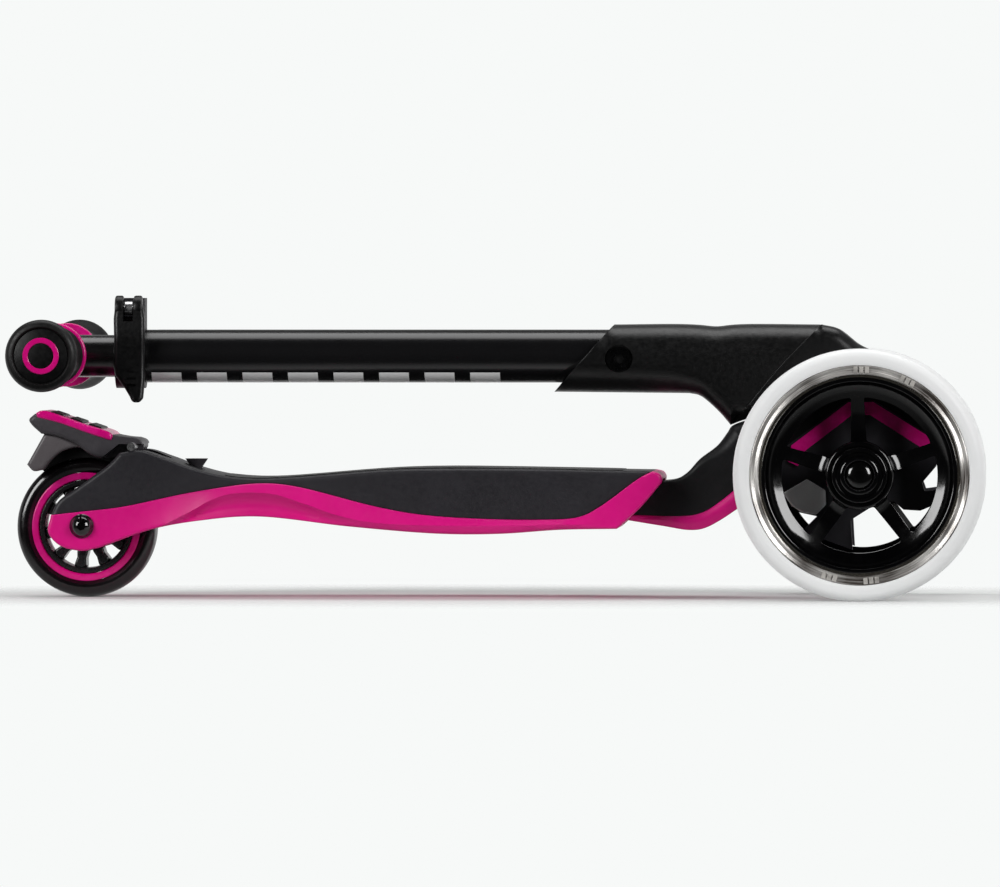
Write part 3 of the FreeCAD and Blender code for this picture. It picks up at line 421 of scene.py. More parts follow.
def cut(piece, *tools, sharp=32):
    """Takes each tool's volume out of the piece, and deletes the tools."""
    for tool in tools:
        modifier = piece.modifiers.new("cut", "BOOLEAN")
        modifier.operation = "DIFFERENCE"
        modifier.solver = "EXACT"
        modifier.object = tool
    bpy.context.view_layer.update()
    graph = bpy.context.evaluated_depsgraph_get()
    mesh = bpy.data.meshes.new_from_object(piece.evaluated_get(graph))
    mesh.name = piece.data.name
    piece.modifiers.clear()
    paint = piece.data.materials[0] if piece.data.materials else None
    piece.data = mesh
    mesh.materials.clear()
    if paint:
        mesh.materials.append(paint)
    for polygon in mesh.polygons:
        polygon.material_index = 0
    finish_mesh(piece, sharp)
    for tool in tools:
        bpy.data.objects.remove(tool)
    return piece


def prism_tool(points, y0, y1):
    """Straight-sided cutter with its outline in XZ."""
    n = len(points)
    vertices = [(x, y0, z) for x, z in points] + [(x, y1, z) for x, z in points]
    faces = [tuple(range(n)), tuple(range(2 * n - 1, n - 1, -1))]
    faces += [(i, i + n, (i + 1) % n + n, (i + 1) % n) for i in range(n)]
    return new_piece("tool", vertices, faces, None, None, None)


def box_tool(x0, x1, y0, y1, z0, z1):
    return prism_tool([(x0, z0), (x1, z0), (x1, z1), (x0, z1)], y0, y1)


def rod_tool(start, direction, radius, length, steps=64):
    """Round cutter from a start point along a direction."""
    axis = Vector(direction).normalized()
    side = axis.orthogonal().normalized()
    other = axis.cross(side)
    rings = []
    for s in (0, length):
        centre = Vector(start) + axis * s
        rings.append([tuple(centre + radius * (math.cos(t) * side + math.sin(t) * other))
                      for t in (2 * math.pi * k / steps for k in range(steps))])
    vertices = rings[0] + rings[1]
    faces = [tuple(range(steps)), tuple(range(2 * steps - 1, steps - 1, -1))]
    faces += [(i, i + steps, (i + 1) % steps + steps, (i + 1) % steps) for i in range(steps)]
    return new_piece("tool", vertices, faces, None, None, None)


def inside(points, loop):
    """Which points lie inside a closed outline."""
    x, z = points[:, :1], points[:, 1:]
    ax, az = loop[:, 0], loop[:, 1]
    bx, bz = np.roll(ax, -1), np.roll(az, -1)
    crosses = (az > z) != (bz > z)
    slope = np.where(bz == az, 1e-12, bz - az)
    return (crosses & (x < (bx - ax) * (z - az) / slope + ax)).sum(1) % 2 == 1


def distances(points, loop):
    """Distance from each point to each side of a closed outline."""
    a, b = loop, np.roll(loop, -1, 0)
    run = b - a
    out = np.empty((len(points), len(loop)))
    for start in range(0, len(points), 2000):
        p = points[start:start + 2000, None, :]
        t = np.clip(((p - a) * run).sum(2) / np.maximum((run ** 2).sum(1), 1e-12), 0, 1)
        out[start:start + 2000] = np.sqrt((((a + t[..., None] * run) - p) ** 2).sum(2))
    return out


def relief(name, outline, half, edge, body, paint, slot, stands_for=(), step=2.2, creases=(), sharp=32,
           bend=None):
    """Closed round-edged shell drawn from the side: an outline in XZ, half(x, z) thick each side of y = 0.

    edge is the radius of the edge, or a function of the outline's (x, z). creases are lines in XZ that the
    mesh follows. bend(x, z) moves points along Y at the end.
    """
    even = []
    for a, b in zip(outline, outline[1:] + outline[:1]):
        parts = max(1, math.ceil(math.dist(a, b) / 1.5))
        even += [(a[0] + (b[0] - a[0]) * k / parts, a[1] + (b[1] - a[1]) * k / parts) for k in range(parts)]
    loop = np.array(even, float)
    nxt = np.roll(loop, -1, 0)
    if (loop[:, 0] * nxt[:, 1] - nxt[:, 0] * loop[:, 1]).sum() < 0:
        loop = loop[::-1].copy()
    n = len(loop)
    radius = np.array([edge(x, z) for x, z in loop]) if callable(edge) else np.full(n, float(edge))
    side_radius = np.minimum(radius, np.roll(radius, -1))
    tangent = np.roll(loop, -1, 0) - np.roll(loop, 1, 0)
    inward = np.stack([-tangent[:, 1], tangent[:, 0]], 1) / np.linalg.norm(tangent, axis=1)[:, None]
    chosen = [loop]
    for k in range(1, 9):
        reach = radius * (1 - math.cos(math.pi / 2 * k / 8))
        ring = loop + inward * reach[:, None]
        ring = ring[radius > 0.05]
        keep = inside(ring, loop) & (distances(ring, loop).min(1) > 0.93 * reach[radius > 0.05] - 1e-9)
        chosen.append(ring[keep])
    low, high = loop.min(0), loop.max(0)
    gx, gz = np.meshgrid(np.arange(low[0], high[0], step), np.arange(low[1], high[1], step * 0.866))
    gx[1::2] += step / 2
    grid = np.stack([gx.ravel(), gz.ravel()], 1)
    grid = grid[inside(grid, loop)]
    far = distances(grid, loop)
    chosen.append(grid[(far - np.minimum(side_radius, 4.0)[None, :] > 0.35 * step).all(1)])
    edges = [(i, (i + 1) % n) for i in range(n)]
    points = np.concatenate(chosen)
    for line in creases:
        line = np.array(smooth(line, step * 0.6))
        line = line[inside(line, loop)]
        edges += [(len(points) + i, len(points) + i + 1) for i in range(len(line) - 1)]
        points = np.concatenate([points, line])
    flat, _, faces, _, _, _ = delaunay_2d_cdt([Vector(p) for p in points], edges, [list(range(n))], 1, 1e-4)
    flat = np.array([tuple(v) for v in flat])
    away = distances(flat, loop)
    limit = np.minimum(away, side_radius[None, :])
    left = np.maximum(side_radius[None, :] ** 2 - (side_radius[None, :] - limit) ** 2, 0)
    drop = side_radius[None, :] - np.sqrt(left)
    height = np.array([half(x, z) for x, z in flat]) - drop.max(1)
    count = len(flat)
    vertices = [(x, -h, z) for (x, z), h in zip(flat, height)]
    vertices += [(x, h, z) for (x, z), h in zip(flat, height)]
    if bend:
        vertices = [(x, y + bend(x, z), z) for x, y, z in vertices]
    all_faces = [tuple(f) for f in faces] + [tuple(i + count for i in reversed(f)) for f in faces]
    used = {}
    for face in faces:
        for a, b in zip(face, list(face[1:]) + [face[0]]):
            side = (min(a, b), max(a, b))
            used[side] = used.get(side, 0) + 1
    all_faces += [(a, b, b + count, a + count) for (a, b), times in used.items() if times == 1]
    return new_piece(name, vertices, all_faces, body, paint, slot, stands_for, sharp)


def lathe(name, profile, centre, body, paint, slot, stands_for=(), steps=144, sharp=35, mirror=False):
    """Turned piece about the Y line through centre. profile is a closed outline of (radius, y)."""
    sign = -1 if mirror else 1
    n = len(profile)
    vertices = []
    for k in range(steps):
        t = 2 * math.pi * k / steps
        vertices += [(centre[0] + r * math.cos(t), sign * y, centre[1] + r * math.sin(t)) for r, y in profile]
    faces = []
    for k in range(steps):
        a, b = k * n, (k + 1) % steps * n
        faces += [(a + i, a + (i + 1) % n, b + (i + 1) % n, b + i) for i in range(n)]
    return new_piece(name, vertices, faces, body, paint, slot, stands_for, sharp)


def joined(name, pieces):
    """Several pieces on one body as one object."""
    first = pieces[0]
    bm = bmesh.new()
    for piece in pieces:
        bm.from_mesh(piece.data)
    mesh = bpy.data.meshes.new(name)
    bm.to_mesh(mesh)
    bm.free()
    mesh.materials.append(first.data.materials[0])
    first.data = mesh
    finish_mesh(first, 35)
    for piece in pieces[1:]:
        bpy.data.objects.remove(piece)
    first.name = name
    return first


def joined_on(body, name, pieces, stands_for=()):
    """Joined pieces attached to their body, with the CAD nodes they stand for hidden."""
    piece = joined(name, pieces)
    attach(piece, body)
    if stands_for:
        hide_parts(*stands_for)


# ---------------------------------------------------------------- deck
DECK_TOP = [(-230.2, 87.6), (-218.4, 89.0), (-204.7, 84.8), (-186.7, 78.3), (-168.8, 73.9),
            (-147.8, 72.1), (-120.9, 73.3), (-67.1, 77.5), (0.0, 78.1), (70.6, 76.9), (89.8, 76.6)]
DECK_SPLIT = [(-271.5, 50.0), (-255.4, 51.8), (-229.6, 54.8), (-186.6, 63.7), (-147.7, 69.1),
              (-126.8, 67.9), (-72.9, 54.8), (-43.0, 50.0), (22.8, 47.6), (46.7, 49.4),
              (58.7, 55.4), (82.6, 72.7), (89.8, 76.6)]
DECK_BOTTOM = [(-243.6, 30.2), (-210.7, 41.6), (-180.7, 47.0), (-147.8, 49.4), (-91.0, 43.4),
               (-37.1, 39.2), (-1.2, 39.2), (34.7, 41.6), (68.8, 42.2)]
RIDGE = [(-243.6, 30.2), (-216.6, 39.7), (-202.9, 44.5), (-187.3, 52.3), (-175.4, 58.9), (-162.8, 63.0),
         (-137.7, 63.0), (-118.5, 57.1), (-99.4, 50.5), (-80.2, 46.4), (-55.0, 44.6), (20.0, 44.2),
         (66.0, 45.6)]
deck_half = line_of([(-276.0, 46.0), (-205.0, 46.0), (-150.0, 50.0), (-60.0, 55.0), (20.0, 54.0),
                     (97.0, 50.0)])
split_height = line_of(DECK_SPLIT)
bottom_height = line_of(DECK_BOTTOM)
ridge_height = line_of(RIDGE)


def deck_tools():
    """Room in the deck for the rear wheel, the neck, its rail, the fender's knuckle and the latch knob."""
    yield box_tool(-300, -222, -20, 20, 0, 130)
    yield rod_tool((-222, 0, 0), (0, 0, 1), 20, 130)
    yield box_tool(70, 130, -29.5, 29.5, 42.4, 71.8)
    yield box_tool(-206, 72, -20.5, 20.5, 51.5, 64.5)
    yield rod_tool((FENDER_PIN[0], -30.5, FENDER_PIN[1]), (0, 1, 0), 6.6, 61)
    yield rod_tool((-187, 0, 76.9), (0, 0, 1), 7.8, 20)


def make_deck():
    rear = [(-230.2, 87.6), (-236.6, 80.8), (-248.1, 72.2), (-257.3, 65.6), (-267.2, 58.4), (-271.5, 50.4)]
    raised = [(x, z - 0.1) for x, z in DECK_SPLIT[::-1]]
    raised[0] = DECK_TOP[-1]

    def cover_edge(x, z):
        return 0.7 if z < split_height(x) + 1.5 else 2.6

    cover = relief("deck_cover_shell", trace(DECK_TOP, raised, rear[::-1]), lambda x, z: deck_half(x) - 1.0,
                   cover_edge, "deck", "black_plastic", "black_plastic", ["deck_cover"])
    cut(cover, *deck_tools())

    nose = [(-271.5, 49.6), (-273.2, 40.0), (-266.5, 32.0), (-253.0, 28.6), (-243.6, 30.2)]
    rim = [(68.8, 42.2), (82.5, 54.7), (95.2, 69.6)]
    tip = [(95.2, 69.6), (95.8, 72.4), (94.0, 75.4), (89.8, 76.6)]
    lowered = [(x, z + 0.1) for x, z in DECK_SPLIT]
    lowered[-1] = (89.8, 76.6)

    def frame_half(x, z):
        ridge, top = ridge_height(x), split_height(x)
        share = float(np.interp(x, [-226.0, -198.0, 36.0, 60.0], [0.0, 1.0, 1.0, 0.0]))
        if z >= ridge:
            bulge = 0.4 + 2.8 * min(1.0, max(0.0, top - z) / max(top - ridge, 3.0))
        else:
            sink = min(1.0, (ridge - z) / max(ridge - bottom_height(x), 2.0))
            scoop = 3.4 * math.sin(math.pi * sink) * max(0.0, min(1.0, (-88 - x) / 30, (x + 203) / 18))
            bulge = 3.2 - 3.2 * sink - scoop
        return deck_half(x) + 1.4 + share * (bulge - 1.4)

    def frame_edge(x, z):
        return 0.7 if z > split_height(x) - 1.5 and x < 84 else 1.8

    frame_piece = relief("deck_frame_shell", trace(lowered, tip[::-1], rim[::-1], DECK_BOTTOM[::-1],
                                                   nose[::-1]),
                         frame_half, frame_edge, "deck", "magenta_plastic", "magenta_plastic", ["deck_frame"],
                         step=1.7, creases=[RIDGE[2:-1]], sharp=26)
    cut(frame_piece, *deck_tools(), sharp=26)


make_deck()


# ---------------------------------------------------------------- neck
NECK_TOP = [(72.0, 69.8), (96.0, 70.5), (104.0, 71.8), (110.6, 75.9), (117.8, 83.7), (128.6, 92.1),
            (134.6, 100.0)]
NECK_SPLIT = [(72.0, 50.4), (96.0, 49.5), (107.0, 49.5), (114.0, 50.1), (121.4, 52.5), (135.8, 62.7),
              (150.0, 76.0), (172.0, 100.0)]
NECK_BOTTOM = [(72.0, 47.4), (96.0, 43.5), (112.0, 41.1), (121.0, 42.3), (139.4, 53.1), (150.0, 62.0),
               (160.0, 71.0)]


def neck_tools():
    """Room for the truck's barrel, the kingpin's nut, the rail and the fold button."""
    foot, axis = Vector(KINGPIN_FOOT), Vector(KINGPIN_DIR)
    yield rod_tool(foot - 26 * axis, axis, 14.6, 70)
    yield rod_tool(foot - 60 * axis, axis, 13.4, 26)
    yield box_tool(60, 92, -20.2, 20.2, 51.8, 64.2)
    start, end = Vector((109.9, 74.3)), Vector((122.5, 86.4))
    run = (end - start).normalized()
    up = Vector((-run[1], run[0]))
    middle = (start + end) / 2
    corners = [middle + a * run + b * up for a, b in ((-8.2, -11), (8.2, -11), (8.2, 12), (-8.2, 12))]
    yield prism_tool([tuple(c) for c in corners], -10.4, 10.4)


def make_neck():
    crest = [(134.6, 100.0), (136.8, 103.4), (143.6, 106.3), (156.0, 108.6), (166.0, 107.0), (172.0, 100.4)]
    raised = [(x, z - 0.1) for x, z in NECK_SPLIT[::-1]]
    raised[0] = (172.0, 100.4)
    wall = line_of([(60.0, 2.0), (108.0, 2.4), (124.0, 5.5), (137.0, 9.0), (175.0, 9.0)])

    def cover_edge(x, z):
        seam = np.interp(x, [p[0] for p in NECK_SPLIT], [p[1] for p in NECK_SPLIT])
        return 0.6 if z < seam + 1.5 else float(wall(x))

    stub = [(72.0, 50.7), (72.0, 69.8)]
    cover = relief("neck_cover_shell", trace(NECK_TOP, crest, raised, stub), lambda x, z: 29.0,
                   cover_edge, "neck", "neck_plastic", "black_plastic", ["neck_cover"], step=2.0)
    cut(cover, *neck_tools())

    front = [(172.0, 99.6), (176.0, 88.0)]
    chin = [(176.0, 88.0), (160.0, 71.0)]
    lowered = [(x, z + 0.1) for x, z in NECK_SPLIT]
    low = line_of(NECK_BOTTOM)
    top = line_of(NECK_SPLIT)

    def frame_half(x, z):
        share = min(1.0, max(0.0, (top(x) - z) / max(top(x) - low(x), 2.0)))
        return 29.4 + 1.6 * min(1.0, share * 3) - 2.4 * max(0.0, share - 0.45)

    band = relief("neck_frame_shell", trace(lowered, front, chin, NECK_BOTTOM[::-1],
                                            [(72.0, 47.4), (72.0, 50.1)]),
                  frame_half, 0.9, "neck", "magenta_plastic", "magenta_plastic", ["neck_frame"], step=1.8)
    cut(band, *neck_tools())


make_neck()


# ---------------------------------------------------------------- column
SEAM = [(143.1, 111.8), (166.5, 140.2), (190.7, 164.6)]


def tongue_tool():
    """Room for the fold hinge's tongue through the stem's travel."""
    d = math.sqrt(0.5)
    edge = (PIVOT[0] - 14.2 * d, PIVOT[1] + 14.2 * d)
    sector = [(edge[0] - 90, edge[1] - 90), edge, PIVOT, (PIVOT[0] + 40, PIVOT[1] + 14), (240, 80), (105, 50)]
    yield prism_tool(sector, -14, 14)
    yield rod_tool((PIVOT[0], -14, PIVOT[1]), (0, 1, 0), 15.4, 28)


def make_column():
    back = [(65.8, 164.6), (105.0, 164.9), (117.0, 164.4), (127.4, 163.5), (136.0, 164.4), (146.0, 164.9),
            (190.2, 164.6)]
    seam = [(x + 0.3, z - 0.2) for x, z in SEAM]
    foot = [(143.4, 111.6), (139.4, 107.2), (136.0, 104.2)]
    sole = [(136.0, 104.2), (129.8, 111.4), (121.6, 119.0), (117.0, 122.0), (111.1, 123.2)]
    under = [(111.1, 123.2), (29.7, 124.0)]
    mouth = [(29.7, 124.0), (65.8, 164.6)]

    def sleeve_edge(x, z):
        on_mouth = abs((x - 29.7) * 40.6 - (z - 124.0) * 36.1) / 54.3 < 0.6 and x < 65.0
        on_seam = abs(np.interp(z, [112.0, 140.4, 164.8], [142.7, 166.1, 190.3]) - x) < 1.2
        if on_mouth or on_seam:
            return 0.5
        return 19.0 if z > 130 else float(np.interp(x, [60.0, 100.0, 124.0], [19.0, 17.0, 9.0]))

    sleeve = relief("column_sleeve", trace(back, seam[::-1], foot, sole, under, mouth), lambda x, z: 21.6,
                    sleeve_edge, "column", "column_plastic", "black_plastic",
                    ["column_shell_left", "column_shell_right"], step=2.2)
    cut(sleeve, rod_tool((-10, 0, STEM_Z), (1, 0, 0), 16.7, 122), *tongue_tool(),
        rod_tool((COLUMN_BOLT[0], -30, COLUMN_BOLT[1]), (0, 1, 0), 8.4, 10.4),
        box_tool(0, 200, -0.35, 0.35, 163.9, 170))

    top = [(190.7, 164.6), (201.0, 162.0), (213.6, 152.6), (222.6, 148.2)]
    nose = [(222.6, 148.2), (217.0, 139.5), (210.0, 130.0)]
    boss = [(210.0, 130.0), (205.6, 119.4), (195.0, 115.0)]
    heel = [(195.0, 115.0), (185.0, 114.0), (163.0, 111.8), (143.6, 107.0), (136.2, 104.2)]

    def head_edge(x, z):
        on_seam = abs(np.interp(z, [104.6, 111.6, 140.0, 164.6], [137.4, 143.5, 166.9, 191.0]) - x) < 1.2
        return 0.5 if on_seam else 9.0

    head = relief("column_knuckle", trace(top, nose, boss, heel, heel[-1:] + SEAM), lambda x, z: 21.6,
                  head_edge, "column", "column_plastic", "black_plastic", ["column_head"], step=2.2)
    cut(head, *tongue_tool())


make_column()


# ---------------------------------------------------------------- fender
def make_fender():
    top = [(-282.6, 110.8), (-268.0, 108.6), (-252.0, 103.4), (-237.5, 98.6), (-228.0, 96.8), (-222.6, 96.4)]
    front = [(-222.6, 96.4), (-218.6, 94.6), (-217.8, 91.0), (-220.4, 87.2)]
    under = [(-220.4, 87.2), (-227.0, 86.0), (-234.0, 84.6), (-243.0, 84.2), (-249.6, 86.6), (-259.0, 93.2),
             (-270.0, 97.3), (-278.8, 98.8)]
    back = [(-278.8, 98.8), (-284.6, 104.2), (-286.2, 107.2), (-282.6, 110.8)]

    def shell_edge(x, z):
        return 0.8 if z > 108.2 - 0.33 * (x + 268.0) - 0.4 else 2.6

    shell = relief("fender_shell", trace(top, front, under, back), lambda x,
                   z: 30.2 - 0.10 * max(0.0, x + 246.0),
                   shell_edge, "fender", "fender_plastic", "black_plastic", ["fender_body"], step=1.8)
    flap_top = [(-277.0, 99.0), (-268.6, 97.2), (-256.5, 92.2), (-248.0, 87.0)]
    flap_low = [(-248.0, 87.0), (-256.0, 90.4), (-266.0, 88.4), (-273.0, 83.0), (-277.6, 77.2)]
    flap_tip = [(-277.6, 77.2), (-283.6, 76.2), (-287.6, 80.2)]
    flap_back = [(-287.6, 80.2), (-282.6, 89.0), (-277.0, 99.0)]
    flap = relief("fender_tail", trace(flap_top, flap_low, flap_tip, flap_back), lambda x, z: 27.4, 2.0,
                  "fender", "tail_plastic", "grey_plastic", ["fender_body"], step=1.6)
    keep = [(-232.0, 92.6), (-290.0, 46.6), (-290.0, 26.0), (-210.0, 26.0), (-210.0, 92.6)]
    for piece in (shell, flap):
        tools = [rod_tool((REAR_AXLE[0], -17.2, REAR_AXLE[1]), (0, 1, 0), 48.8, 34.4, 96),
                 prism_tool(keep, 18.2, 60.0), prism_tool(keep, -60.0, -18.2)]
        cut(piece, *tools)
    # Liner inside the fender over the wheel; its near-black colour is painted shade for the fender's dark
    # underside.
    section = [(41.8, -17.6), (50.5, -17.6), (50.5, 17.6), (41.8, 17.6), (41.8, 16.0), (47.2, 14.8),
               (47.2, -14.8), (41.8, -16.0)]
    count = 28
    vertices = []
    for k in range(count + 1):
        t = math.radians(57 + 70 * k / count)
        vertices += [(REAR_AXLE[0] + r * math.cos(t), y, REAR_AXLE[1] + r * math.sin(t)) for r, y in section]
    n = len(section)
    faces = [(k * n + i, k * n + (i + 1) % n, (k + 1) * n + (i + 1) % n, (k + 1) * n + i)
             for k in range(count) for i in range(n)]
    faces += [tuple(range(n)), tuple(range(count * n + n - 1, count * n - 1, -1))]
    new_piece("fender_shade_liner", vertices, faces, "fender", "grip_dark", "black_plastic")

    low = [(-281.2, 108.6), (-267.2, 105.0), (-252.0, 99.6), (-236.6, 94.6)]
    high = [(-235.4, 97.6), (-237.6, 99.8), (-252.4, 104.6), (-266.4, 109.6), (-278.6, 112.8),
            (-281.8, 111.2)]
    pad = relief("fender_pad_shell", trace(low, [low[-1], high[0]], high, [high[-1], low[0]]),
                 lambda x, z: 31.2 - 0.08 * max(0.0, x + 246.0), 1.5, "fender", "magenta_gloss",
                 "magenta_gloss",
                 ["fender_pad"], step=1.4)
    treads = ((-270.0, 110.0), (-258.5, 106.3), (-247.0, 102.6))
    cut(pad, *[prism_tool([(x - 4.2, z - 1.0), (x + 4.2, z - 3.4), (x + 5.4, z + 4.0), (x - 3.0, z + 6.0)],
                          -23.6, 23.6) for x, z in treads])
    inserts = []
    for x, z in treads:
        corners = [(x - 4.0, z + 0.2), (x + 3.7, z - 2.3), (x + 4.4, z + 0.0), (x - 3.3, z + 2.6)]
        inserts.append(relief("insert", rounded(corners, 0.9), lambda x, z: 23.3, 0.7, "fender",
                              "grip_rubber",
                              "grip_rubber", step=1.0))
    joined_on("fender", "fender_inserts", inserts, ["fender_grips"])


make_fender()


# ---------------------------------------------------------------- wheels
def arc(cr, cy, radius, start, end, steps=6):
    """Points of (radius from the axle, y) on a small arc, angles in degrees."""
    return [(cr + radius * math.cos(math.radians(start + (end - start) * k / steps)),
             cy + radius * math.sin(math.radians(start + (end - start) * k / steps))) for k in range(steps + 1)]


def hexagon(centre, radius, turn=0.0):
    return [(centre[0] + radius * math.cos(t), centre[1] + radius * math.sin(t))
            for t in (math.pi / 3 * k + turn for k in range(6))]


def make_rear_wheel():
    tyre = [(32.9, -12.6), (34.0, -13.2)] + arc(36.6, -8.2, 5.6, -100, -22) + arc(30.0, 0.0, 12.5, -16, 16,
                                                                                  10)
    tyre += arc(36.6, 8.2, 5.6, 22, 100) + [(34.0, 13.2), (32.9, 12.6)]
    lathe("rear_tyre_shell", tyre, REAR_AXLE, "rear_wheel", "smoke_tyre", "gloss_black", ["rear_tyre"])
    ring = [(28.4, -12.4)] + arc(29.4, -12.6, 0.9, 180, 280) + arc(32.0, -12.4, 0.8, 270, 360)
    ring += arc(32.0, 12.4, 0.8, 0, 90) + arc(29.4, 12.6, 0.9, 80, 180)
    lathe("rear_core_band", ring, REAR_AXLE, "rear_wheel", "magenta_gloss", "magenta_gloss",
          ["rear_core_ring"])
    outer = [(25.0, -11.0)] + arc(25.8, -11.6, 0.8, 180, 270) + arc(27.5, -11.6, 0.8, 270, 360)
    outer += arc(27.5, 11.6, 0.8, 0, 90) + arc(25.8, 11.6, 0.8, 90, 180) + [(24.6, 4.0), (24.6, -4.0)]
    rim = lathe("rim", outer, REAR_AXLE, "rear_wheel", "hub_plastic", "black_plastic")
    boss = [(11.1, -11.6), (12.0, -12.0), (14.0, -11.4), (14.6, -8.0), (14.6, 8.0), (14.0, 11.4),
            (12.0, 12.0),
            (11.1, 11.6)]
    core = lathe("boss", boss, REAR_AXLE, "rear_wheel", "hub_plastic", "black_plastic")
    spokes = []
    spoke_count, first_angle = 10, 9
    for k in range(spoke_count):
        t = math.radians(first_angle + 360 / spoke_count * k)
        u, v = Vector((math.cos(t), math.sin(t))), Vector((-math.sin(t), math.cos(t)))
        centre = Vector(REAR_AXLE)
        profile = [(13.6, -3.6), (19.0, -2.7), (25.4, -4.0), (25.4, 4.0), (19.0, 2.7), (13.6, 3.6)]
        outline = [tuple(centre + r * u + w * v) for r, w in profile]
        spokes.append(relief("spoke", rounded(outline, 2.0, 3), lambda x, z: 10.6, 1.3, "rear_wheel",
                             "hub_plastic",
                             "black_plastic", step=1.8))
    hub = joined("rear_hub_shell", [rim, core] + spokes)
    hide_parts("rear_hub")


make_rear_wheel()


def dome_nut(name, centre, y, mirror, body, paint, slot, radius=7.3, height=6.4):
    """Domed nut with a small hexagon socket in it."""
    profile = [(0.0, 0.0), (0.0, height)] + arc(0.0, height - radius * 0.95, radius * 0.95, 90, 24, 12)[1:]
    profile += [(radius, 1.2), (radius - 0.4, 0.0)]
    turned = [(max(r, 0.0), -(y + h)) for r, h in profile]
    piece = lathe(name, turned, centre, body, paint, slot, steps=64, mirror=mirror)
    sign = 1 if mirror else -1
    outer = sign * (y + height)
    return cut(piece, prism_tool(hexagon(centre, 2.7, 0.3), outer - 2.6, outer + 2.6))


def make_axle_nuts():
    pair = [dome_nut("nut", (REAR_AXLE[0] + 0.2, REAR_AXLE[1] + 1.0), 46.8, m, "deck", "black_chrome",
                     "black_metal")
            for m in (False, True)]
    joined_on("deck", "rear_axle_domes", pair, ["rear_axle_nuts"])


make_axle_nuts()


def make_truck_shields_and_reflection_plates():
    """Pale plate that stands in for the grey reflection seen through the wheel windows (a painted reflection),
    and dark half-round shield on each outer face of the truck, behind the wheels.
    """
    x, z = FRONT_AXLE
    reflection_patch = [(-46.0, -11.0), (-31.6, -2.6), (-20.6, -9.4), (-20.2, -18.0), (-26.0, -24.0), (-35.4, -22.2),
             (-41.0, -18.4)]
    plates = []
    for sign in (-1, 1):
        # painted reflection: pale plates for the grey reflection seen through the wheel windows
        plates.append(relief("plate", rounded([(x + a, z + b) for a, b in reflection_patch], 1.6, 3), lambda x, z: 0.7,
                             0.5,
                             "truck", "pale_plastic", "grey_plastic", step=2.4, bend=lambda x, z,
                             s=sign: 61.8 * s))
    reflection_plates = joined("truck_reflection_plates", plates)
    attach(reflection_plates, "truck")
    shield = [(x + 53.0 * math.cos(math.radians(t)), z + 53.0 * math.sin(math.radians(t))) for t in range(12,
                                                                                                          169, 4)]
    shields = []
    for sign in (-1, 1):
        shields.append(relief("shield", shield, lambda x, z: 0.9, 0.7, "truck", "grip_dark", "black_plastic",
                              step=3.0, bend=lambda x, z, s=sign: 58.4 * s))
    joined("truck_shields", shields)


make_truck_shields_and_reflection_plates()


